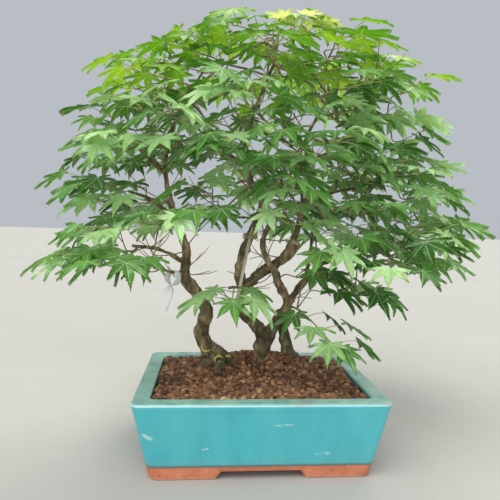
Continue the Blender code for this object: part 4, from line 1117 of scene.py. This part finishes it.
# Split bamboo left outdoors: grey, with fibres drawn out along it.
BAMBOO = one_grain("weathered_split_bamboo", 1.1, (
    (0.3, "8f8873"), (0.5, "b9b29d"), (0.75, "d8d2bf")), 0.7, 0.5, (1, 1, 0.05))
# Raffia: dry flat palm fibre, dull straw yellow.
RAFFIA = one_grain("dry_raffia_fibre", 2, ((0.3, "857453"), (0.55, "b3a27c"), (0.8, "cdbf9a")), 0.85, 0.4)
# Label paper with a smooth white coating, thin enough to glow.
LABEL = one_grain("white_coated_label_paper", 11, ((0.3, "f2f4f6"), (0.8, "fdfdfd")), 0.32, 0.05, through=0.1)
# End grain cut with a saw: pale, going grey.
END_GRAIN = one_grain("sawn_maple_end_grain", 6.3, (
    (0.3, "8f8062"), (0.5, "b8a888"), (0.75, "cfc3a6")), 0.8, 0.5)
# Crushed volcanic stone, washed: pale, porous and rough.
GRIT = one_grain("washed_pumice_grit", 4.5, ((0.3, "8f8468"), (0.5, "b9ab8e"), (0.7, "d3c9b2")), 0.95, 1.0)
# Moulded black polyethylene: even, slightly waxy.
MESH_PLASTIC = one_grain("moulded_black_polyethylene", 8.3, ((0.3, "1d2024"), (0.7, "2b2f34")), 0.5, 0.2)
# Hot-dip galvanised wire: dull zinc with a faint spangle.
ZINC_WIRE = one_grain(
    "galvanised_steel_wire", 3.3, ((0.3, "84878a"), (0.7, "a9acad")), 0.38, 0.2, metallic=1.0)
# Painted studio floor: matt and even.
FLOOR_PAINT = one_grain("pale_matt_floor_paint", 330, ((0.3, "979795"), (0.7, "9c9c9a")), 0.95, 0.0)


# ---------------------------------------------------------------- the plant

make_pot(GLAZE, CLAY)
stems = []
for name, limbs in TREES.items():
    foot = planted(limbs[0][0]) - POT_PLACE
    stems.append((foot.x, foot.y, 1.15 * limbs[0][-2] * MM))
make_granules(GRANULE, stems)
make_bed(BED_PAINTED_SHADE)
make_pale_lumps(PALE_GRANULE)

samples = []
for name, limbs in TREES.items():
    samples += make_tree(name, limbs, BARK)


def settle_leaves(spray, name, is_young, *replaced):
    slot, leaf = ("maple_leaf_young", YOUNG_LEAF) if is_young else ("maple_leaf", LEAF)
    spray.finish(name, slot, leaf, SHOOT, *replaced)


chance = random.Random(21)
wood = Wood(TREES)
bare_wood = finder_of(samples)
twigs = Tubes()
hubs = []
shoot_places = []
for number in range(1, 47):
    name = f"leaf_spray_{number:02d}"
    is_young = "young" in NODES[name].data.materials[0].name
    stations, leaves = read_shoot(name)
    heading = (stations[1] - stations[0]).normalized()
    path = smooth_path(wood.twig(stations[0], heading, bare_wood)[::-1], 4)
    samples += path[3:]
    shoot_places += stations
    twigs.add(path, [(1.5 - 0.75 * i / len(path)) * MM for i in range(len(path))], 8, wobble=0.10)
    spray = Leaves()
    spine = smooth_path(stations, 3)
    spray.stems.add(spine, [(0.95 - 0.35 * i / len(spine)) * MM for i in range(len(spine))], 8)
    for start, hub, forward, up, length in leaves:
        spray.blade(hub, forward, up, length, chance.random(), chance)
        spray.stalk(start, hub - forward * 0.4 * MM, 0.5 * MM, chance.uniform(0, 2) * MM)
        hubs.append(hub)
    settle_leaves(spray, name.replace("leaf_spray", "leafy_shoot"), is_young, name)
settle(to_object("twigs", twigs.points, twigs.faces, [TWIG_BARK]), "maple_bark")


# ---------------------------------------------------------------- shoots between the large ones

# Shells of foliage: height above the soil's edge and reach of the crown there, sideways and
# front to back, in metres.
SHELLS = ((0.165, 0.236, 0.160), (0.206, 0.262, 0.178), (0.270, 0.264, 0.178), (0.328, 0.250, 0.166),
          (0.374, 0.220, 0.144), (0.410, 0.156, 0.100))
FILL_SHOOTS = 270  # tries; most are dropped for want of room
FILL_FROM, FILL_TO = 0.175, 0.412  # heights above the soil's edge, in metres
OPEN_BELOW = 0.27  # up to here every other try on the left is dropped, so it stays open
THIN_ABOVE = 0.33  # from here every third try is dropped, so light comes through the top
FRONT_SHARE = 0.60  # of the tries, in front of the crown's middle
BARE_TWIGS = 230  # tries; those too low or too high are dropped
HUB_ROOM = 27 * MM  # least distance between the hubs of two leaves; heights count double
YOUNG_ABOVE = SOIL_EDGE + 335 * MM  # shoots from this height up are young
# Middles of large leaves round the front, in millimetres from the middle of the pot and the table.
FRONT_HUBS = (
    (-80, -95, 302), (-43, -110, 271), (-103, -100, 264), (17, -110, 309), (26, -120, 265), (74, -110, 234),
    (6, -110, 356), (78, -100, 352), (-124, -120, 228), (147, -60, 189), (-150, -70, 262), (112, -96, 290),
    (-20, -104, 330), (48, -112, 330), (-62, -112, 345), (120, -84, 252), (-12, -118, 240), (176, -30, 238),
    (-204, -96, 230), (-192, -78, 258), (-196, -50, 300), (208, -72, 262), (190, -94, 246), (-168, -96, 224),
    (196, -60, 300), (-188, -70, 340), (190, -50, 345), (-160, -60, 385), (160, -60, 392), (168, -84, 226),
    (-196, -10, 262), (98, -44, 208), (132, -34, 200), (86, -10, 204), (104, -20, 188), (214, -64, 256),
    (222, -30, 268), (-206, -70, 226), (-210, -40, 250),
)
# Where the stems and the splint stay in view from the front: from x to x, below a height.
STEM_WINDOWS = ((-48, 34, 276), (-122, -72, 304))
# The added leaves stay in this box: the solids' own, a little wider, and lower by 3 mm.
BOX_LOW = Vector(CAD_BOX[0]) - Vector((13, 9, 0)) * MM
BOX_HIGH = Vector(CAD_BOX[1]) + Vector((13, 9, -3)) * MM


def crown_reach(height):
    """The crown's reach at a height above the soil's edge."""
    heights = [shell[0] for shell in SHELLS]
    return [float(np.interp(height, heights, [shell[axis] for shell in SHELLS])) for axis in (1, 2)]


def turned(vector, axis, degrees):
    return Matrix.Rotation(math.radians(degrees), 3, axis) @ vector


class Crown:
    """Adds shoots wherever there is room, each on a twig from the nearest wood."""

    def __init__(self, wood_places, hubs):
        self.places = list(wood_places)
        self.hubs = [np.array(hub) for hub in hubs]
        self.twigs = Tubes()
        self.sprays = {False: [Leaves(), Leaves()], True: [Leaves()]}
        self.leaf_count = 0
        self.look_again()

    def look_again(self):
        """Takes the twigs added since the last time into the search for wood."""
        self.finder = finder_of(self.places)
        self.since = 0

    def has_room(self, hub, room):
        away = (np.array(self.hubs) - np.array(hub)) * (1, 1, 2)
        return float(np.min(np.sum(away * away, axis=1))) > room * room

    def fits_box(self, hub, forward, up, length):
        left = up.cross(forward) * 0.72 * length
        ends = (hub + forward * length - up * 0.3 * length, hub + left, hub - left, hub)
        return all(low < c < high for end in ends for low, c, high in zip(BOX_LOW, end, BOX_HIGH))

    def bearer(self, node, heading):
        """The wood that bears a shoot: its place and how far away it is. Wood behind is better."""
        best = None
        for place, _, away in self.finder.find_n(node, 40):
            if away < 12 * MM:
                continue
            cost = away * (1.6 - 0.8 * (node - place).normalized().dot(heading))
            if best is None or cost < best[0]:
                best = (cost, place, away)
        return best and best[1:]

    def leaf(self, start, heading, bearing, tilt, length, stalk, rise, room, roll):
        """Where a leaf goes: its stalk's start, hub, directions and length, or None without room."""
        flat = turned(heading, UP, bearing)
        flat = Vector((flat.x, flat.y, 0)).normalized()
        side = UP.cross(flat)
        forward = turned(flat, side, tilt)
        up = turned(forward.cross(side).normalized(), forward, roll)
        hub = start + turned(flat, side, -rise) * stalk
        seen = (hub - POT_PLACE) / MM
        if seen.y < 0 and any(left < seen.x < right and seen.z < top for left, right, top in STEM_WINDOWS):
            return None
        if not self.has_room(hub, room) or not self.fits_box(hub, forward, up, length):
            return None
        return start, hub, forward, up, length

    def grow(self, node, heading, chance, room=HUB_ROOM, tilt=(8, 42), longest=115 * MM, least=2):
        """Grows a shoot of up to three leaves at a node, if wood is near and enough leaves fit."""
        found = self.bearer(node, heading)
        if found is None or found[1] > longest:
            return
        place, away = found
        end = node + heading * chance.uniform(7, 12) * MM
        plans = []
        for start, bearing, size in (
            (node, chance.uniform(40, 72), 1.0),
            (node, -chance.uniform(40, 72), 1.0),
            (end, chance.uniform(-14, 14), 0.95),
        ):
            nod, length = chance.uniform(*tilt), size * chance.uniform(33, 44) * MM
            stalk, rise = chance.uniform(16, 30) * MM, chance.uniform(-12, 28)
            plan = self.leaf(start, heading, bearing, nod, length, stalk, rise, room, chance.uniform(-22, 22))
            if plan:
                plans.append(plan)
                self.hubs.append(np.array(plan[1]))
        if len(plans) < least:
            for _ in plans:
                self.hubs.pop()
            return
        neck = node - heading * min(14 * MM, 0.35 * away)
        middle = place.lerp(neck, 0.5) + UP * chance.uniform(-0.10, 0.14) * away
        middle += Vector((chance.uniform(-1, 1), chance.uniform(-1, 1), 0)) * 0.07 * away
        path = smooth_path([place, middle, neck, node], 5)
        thick = 0.75 + 5.5 * away
        self.twigs.add(path, [(thick + (0.6 - thick) * i / 15) * MM for i in range(16)], 7, wobble=0.10)
        self.places += path[4:]
        self.since += 1
        if self.since > 12:
            self.look_again()
        group = self.sprays[node.z > YOUNG_ABOVE]
        spray = group[self.leaf_count % len(group)]
        spray.stems.add(smooth_path([node, end], 3), [0.7 * MM, 0.65 * MM, 0.6 * MM, 0.55 * MM], 7)
        for start, hub, forward, up, length in plans:
            spray.blade(hub, forward, up, length, chance.random(), chance, 0.13)
            spray.stalk(start, hub - forward * 0.4 * MM, 0.45 * MM, chance.uniform(-1, 3) * MM)
        self.leaf_count += len(plans)


crown = Crown(samples + shoot_places, hubs)
for target in FRONT_HUBS:
    outward = Vector((target[0] * 0.7, target[1], 0)).normalized()
    node = Vector(target) * MM + POT_PLACE - outward * 30 * MM
    crown.grow(node, outward, chance, room=18 * MM, tilt=(20, 46), longest=150 * MM, least=1)
for number in range(FILL_SHOOTS):
    height = chance.uniform(FILL_FROM, FILL_TO)
    reach_x, reach_y = crown_reach(height)
    in_front = chance.random() < FRONT_SHARE
    turn = math.radians(chance.uniform(180, 360) if in_front else chance.uniform(0, 180))
    share = chance.uniform(0.42, 1.0) ** 0.6
    outward = Vector((math.cos(turn) * reach_x, math.sin(turn) * reach_y, 0))
    node = POT_PLACE + outward * share + UP * (SOIL_EDGE + height) + Vector((4, 10, 0)) * MM
    node -= outward.normalized() * 58 * MM
    rise = chance.uniform(-6, 16)
    if height < OPEN_BELOW and node.x < POT_PLACE.x and number % 2:
        continue
    if height > THIN_ABOVE and number % 3 == 0:
        continue
    heading = turned(outward.normalized(), UP.cross(outward.normalized()), -rise)
    crown.grow(node, turned(heading, UP, chance.uniform(-30, 30)), chance)
for is_young, group in crown.sprays.items():
    for number, spray in enumerate(group):
        settle_leaves(spray, f"{'young' if is_young else 'mature'}_shoots_{number + 1}", is_young)

# The newest growth, pale yellow, on top of the crown.
tip = Leaves()
for *hub, bearing in (
    (16, -50, 490, 200), (38, -52, 493, -60), (60, -40, 489, -10), (28, -36, 496, 110), (48, -30, 495, 50),
):
    hub = Vector(hub) * MM + POT_PLACE
    turn = math.radians(bearing)
    forward = Vector((math.cos(turn), math.sin(turn), -0.12)).normalized()
    up = forward.cross(UP.cross(forward)).normalized()
    tip.blade(hub, forward, up, chance.uniform(23, 29) * MM, chance.random(), chance, droop=0.05)
    tip.stalk(Vector((32, -34, 474)) * MM + POT_PLACE, hub, 0.4 * MM, 1 * MM)
tip.finish("newest_shoot", "maple_leaf_young", NEWEST_LEAF, SHOOT)

# Bare side twigs inside the crown, forked once.
for _ in range(BARE_TWIGS):
    place = crown.places[chance.randrange(len(crown.places))]
    if not SOIL_EDGE + 0.085 < place.z < SOIL_EDGE + 0.37:
        continue
    turn = chance.uniform(0, 2 * math.pi)
    heading = Vector((math.cos(turn), math.sin(turn), chance.uniform(-0.1, 0.9))).normalized()
    length = chance.uniform(22, 55) * MM
    bend = heading.orthogonal().normalized() * chance.uniform(-0.2, 0.2) * length
    path = smooth_path([place, place + heading * length * 0.5 + bend, place + heading * length], 4)
    crown.twigs.add(path, [(0.8 - 0.05 * i) * MM for i in range(9)], 6, wobble=0.1)
    fork = turned(heading, UP, chance.choice((-40, 40)))
    crotch = path[4]
    elbow = crotch + fork * length * 0.4 + UP * 2 * MM
    path = smooth_path([crotch, elbow, crotch + fork * length * 0.65 + UP * 6 * MM], 3)
    crown.twigs.add(path, [(0.6 - 0.04 * i) * MM for i in range(7)], 6, wobble=0.1)
settle(to_object("fine_twigs", crown.twigs.points, crown.twigs.faces, [TWIG_BARK]), "maple_bark")


# ---------------------------------------------------------------- splint, tie, tag and sawn stub

SPLINT_FOOT, SPLINT_HEAD = planted((-25, 3.5, 85)), planted((-7.5, 10.5, 181))
SPLINT_HALF = Vector((2.1, 0.8)) * MM
TIED_STEM = planted((-9.5, 21.8, 170.5))
TAG_TWIG = planted((-99.3, -20.2, 127.5))
TAG_LOOP, TAG_SLACK, TAG_BLADE = 8.5 * MM, 6.3 * MM, 30 * MM
STUB_END, STUB_BELOW = planted((47, 12, 165)), planted((41, 15, 152))


def make_splint(material):
    """A split of bamboo: ribbed along its fibres, whittled at both ends, with one node ring."""
    span = SPLINT_HEAD - SPLINT_FOOT
    across = span.cross(Vector((0, 1, 0))).normalized()
    out = across.cross(span).normalized()
    points = []
    rows, sides = 60, 20
    for row in range(rows + 1):
        share = row / rows
        width = min(1, 0.5 + 6 * share, 0.45 + 5.5 * (1 - share)) * (1 + 0.05 * math.sin(9 * share))
        node = 0.25 * math.exp(-((share - 0.58) / 0.012) ** 2)
        bow = across * 0.5 * MM * math.sin(3.1 * share)
        for k in range(sides):
            turn = 2 * math.pi * k / sides
            c, s = math.cos(turn), math.sin(turn)
            square = 1 / max(abs(c), abs(s)) * 0.93
            ridge = 1 + 0.10 * math.sin(11 * turn + 2 * share) + node
            place = SPLINT_FOOT + span * share + bow
            points.append(place + across * SPLINT_HALF.x * width * c * square
                          + out * SPLINT_HALF.y * s * square * ridge)
    obj = to_object("split_bamboo", points, tube_faces(0, rows + 1, sides), [material])
    settle(obj, "weathered_bamboo", "bamboo_splint")


def make_tie(material, chance):
    """Raffia wound round the stem and the splint's head, knotted in front, with frayed ends."""
    head = SPLINT_HEAD.lerp(SPLINT_FOOT, 0.1)
    middle = TIED_STEM.lerp(head, 0.42)
    reach = (TIED_STEM - head).length / 2 + 6.4 * MM
    strands = Tubes()
    for number in range(7):
        path = []
        lift = chance.uniform(-2.4, 2.4) * MM
        out = 1 + chance.uniform(-0.04, 0.10)
        for step in range(49):
            turn = 2 * math.pi * step / 48
            path.append(middle + Vector((8.4 * MM * math.cos(turn) * out, reach * math.sin(turn) * out,
                                         lift + 1.4 * MM * math.sin(turn + number))))
        strands.add(path, [0.42 * MM] * 49, 6, wobble=0.35)
    knot = middle + Vector((1.5 * MM, -reach * 1.03, 0))
    for number in range(5):
        turn = number * 1.3
        loop = [knot + 1.9 * MM * Vector((math.cos(t + turn), 0.5 * math.sin(2 * t), math.sin(t + turn)))
                for t in (2 * math.pi * i / 12 for i in range(13))]
        strands.add(loop, [0.5 * MM] * 13, 6, wobble=0.3)
    for number in range(16):
        swing = chance.uniform(-0.6, 1.2)
        length = chance.uniform(5, 15) * MM
        aim = Vector((math.cos(swing), -0.35, math.sin(swing) * 0.8 - 0.2)).normalized()
        curl = Vector((chance.uniform(-1, 1), chance.uniform(-1, 0.2), chance.uniform(-1, 1))) * 0.3 * length
        path = smooth_path([knot, knot + aim * length * 0.5 + curl, knot + aim * length], 5)
        strands.add(path, [(0.34 - 0.02 * i) * MM for i in range(11)], 5, wobble=0.3)
    settle(to_object("raffia_binding", strands.points, strands.faces, [material]), "dry_raffia", "raffia_tie")


def make_tag(material):
    """A blank self-looping label: its strap goes round the twig and back through its own neck."""
    axis = Vector((-0.62, -0.75, 0.18)).normalized()
    down = (Vector((0, 0, -1)) + axis * axis.z).normalized()
    side = axis.cross(down).normalized()
    middle = TAG_TWIG + down * TAG_SLACK
    stations = []
    for step in range(61):
        share = step / 60
        turn = math.radians(12 + 336 * share)
        away = round_the(down, side, turn)
        width = 9.5 - 3.5 * max(0, 1 - share / 0.12) - 4.5 * max(0, (share - 0.84) / 0.16)
        stations.append((middle + TAG_LOOP * away * (1 + 0.04 * math.sin(3 * turn)), axis, width))
    last = stations[-1][0]
    blade_out = Vector((0.25, -1, 0.1)).normalized()
    blade_down = Vector((-0.34, 0, -1)).normalized()
    blade_axis = blade_down.cross(blade_out).normalized()
    if blade_axis.dot(axis) < 0:
        blade_axis.negate()
    for step in range(1, 41):
        share = step / 40
        across = axis.lerp(blade_axis, min(1, share * 3)).normalized()
        width = min(12.0, 5.0 + 60 * share) if share < 0.95 else 12.0 - 1.6 * ((share - 0.95) / 0.05) ** 2
        curl = blade_out * 1.2 * MM * math.sin(math.pi * share)
        stations.append((last + down * 1.5 * MM + blade_down * TAG_BLADE * share + curl, across, width))
    points = []
    columns = 6
    for place, across, width in stations:
        for column in range(columns + 1):
            points.append(place + across * width * MM * (column / columns - 0.5))
    obj = to_object("loop_label", points, grid_faces(len(stations) - 1, columns), [material])
    thick = obj.modifiers.new("Paper", "SOLIDIFY")
    thick.thickness = 0.4 * MM
    thick.offset = 0.0
    settle(obj, "coated_paper", "paper_tag")


def make_stub(material):
    """The pale flat cut on the end of the crossing limb, with a lip of bark round it."""
    up = (STUB_END - STUB_BELOW).normalized()
    side = up.orthogonal().normalized()
    across = up.cross(side)
    rings = ((1.5, 0.95), (3.0, 0.9), (4.5, 1.0), (5.6, 0.85), (6.3, 0.3), (6.7, -1.2), (6.2, -4.0))
    points, faces = [STUB_END + up * 0.9 * MM], []
    for out, rise in rings:
        for k in range(36):
            away = round_the(side, across, 2 * math.pi * k / 36)
            rough = 1 + 0.06 * noise.noise(away * 2.0) + 0.02 * noise.noise(away * 9)
            high = rise + 0.15 * noise.noise(away * out * 2)
            points.append(STUB_END + away * out * rough * MM + up * high * MM)
    for k in range(36):
        faces.append((0, 1 + k, 1 + (k + 1) % 36))
        for row in range(len(rings) - 1):
            a, b = 1 + row * 36 + k, 1 + row * 36 + (k + 1) % 36
            faces.append((a, a + 36, b + 36, b))
    settle(to_object("sawn_stub", points, faces, [material]), "maple_bark")


# Healing lips, yellow-green, on the front of the left tree: place, facing, radius and arc.
CALLUS = (
    (planted((-57, 12, 33)), Vector((-0.2, -1, 0.1)), 5.5, (150, 330), 1.5),
    (planted((-47, 12, 16)), Vector((0.3, -1, 0.5)), 5.0, (20, 200), 1.5),
    (planted((-35, 14, 13)), Vector((0.5, -1, 0.6)), 4.5, (-20, 170), 1.3),
)
lips = Tubes()
bark_finder = finder_of([vertex.co for vertex in bpy.data.objects["stems_of_left_trunk"].data.vertices])
for place, out, radius, spread, thick in CALLUS:
    out = out.normalized()
    surface, _, _ = bark_finder.find(place + out * 9 * MM)
    crescent(surface, out, radius * MM, spread, thick * MM, lips)
settle(to_object("callus_lips", lips.points, lips.faces, [CALLUS_BARK]), "maple_bark")

make_splint(BAMBOO)
make_tie(RAFFIA, random.Random(8))
make_tag(LABEL)
make_stub(END_GRAIN)

# The pieces under the soil keep their solids and get the finishes of what they are.
UNDER_SOIL = {"drainage_layer": GRIT, "drain_screen": MESH_PLASTIC, "screen_clip": ZINC_WIRE}
for name, obj in NODES.items():
    for start, material in UNDER_SOIL.items():
        if name.startswith(start):
            obj.data.materials.clear()
            obj.data.materials.append(material)


# ---------------------------------------------------------------- floor, light and camera

corners = [(-40, -40, 0), (40, -40, 0), (40, 40, 0), (-40, 40, 0)]
to_object("floor", corners, [(0, 1, 2, 3)], [FLOOR_PAINT])

world = bpy.data.worlds.new("studio")
world.use_nodes = True
add_to(world.node_tree, world.node_tree.nodes["Background"], {"Color": "e4ebf2", "Strength": 0.62})
bpy.context.scene.world = world


def soft_light(name, place, power, softness, tint):
    """An even light from the direction of a place, as wide as `softness` in degrees."""
    lamp = bpy.data.lights.new(name, "SUN")
    lamp.energy = power
    lamp.angle = math.radians(softness)
    lamp.color = colour(tint)[:3]
    put(name, lamp).rotation_euler = (-Vector(place)).to_track_quat("-Z", "Y").to_euler()


soft_light("soft_key", (-0.6, -0.7, 1.5), 3.2, 42, "fffaf2")
soft_light("front_fill", (-0.2, -2.4, 0.75), 1.9, 60, "fbfbff")
soft_light("soft_back", (0.5, 0.9, 1.4), 2.2, 50, "fffbe8")

CAMERA_PLACE = Vector((-62, -580, 259)) * MM
CAMERA_YAW, CAMERA_PITCH, CAMERA_ROLL = (math.radians(a) for a in (5.07, -2.36, 1.53))
camera = bpy.data.cameras.new("camera")
camera.sensor_width = 36.0
camera.lens = 35.0
camera.clip_start = 0.01
camera_obj = put("camera", camera)
level = math.cos(CAMERA_PITCH)
forward = Vector((math.sin(CAMERA_YAW) * level, math.cos(CAMERA_YAW) * level, math.sin(CAMERA_PITCH)))
right = Vector((math.cos(CAMERA_YAW), -math.sin(CAMERA_YAW), 0))
above = right.cross(forward)
rolled_right = right * math.cos(CAMERA_ROLL) + above * math.sin(CAMERA_ROLL)
rolled_up = above * math.cos(CAMERA_ROLL) - right * math.sin(CAMERA_ROLL)
turn = Matrix((rolled_right, rolled_up, -forward)).transposed()
camera_obj.matrix_world = Matrix.Translation(CAMERA_PLACE + POT_PLACE) @ turn.to_4x4()
bpy.context.scene.camera = camera_obj
bpy.context.scene.view_settings.view_transform = "Standard"
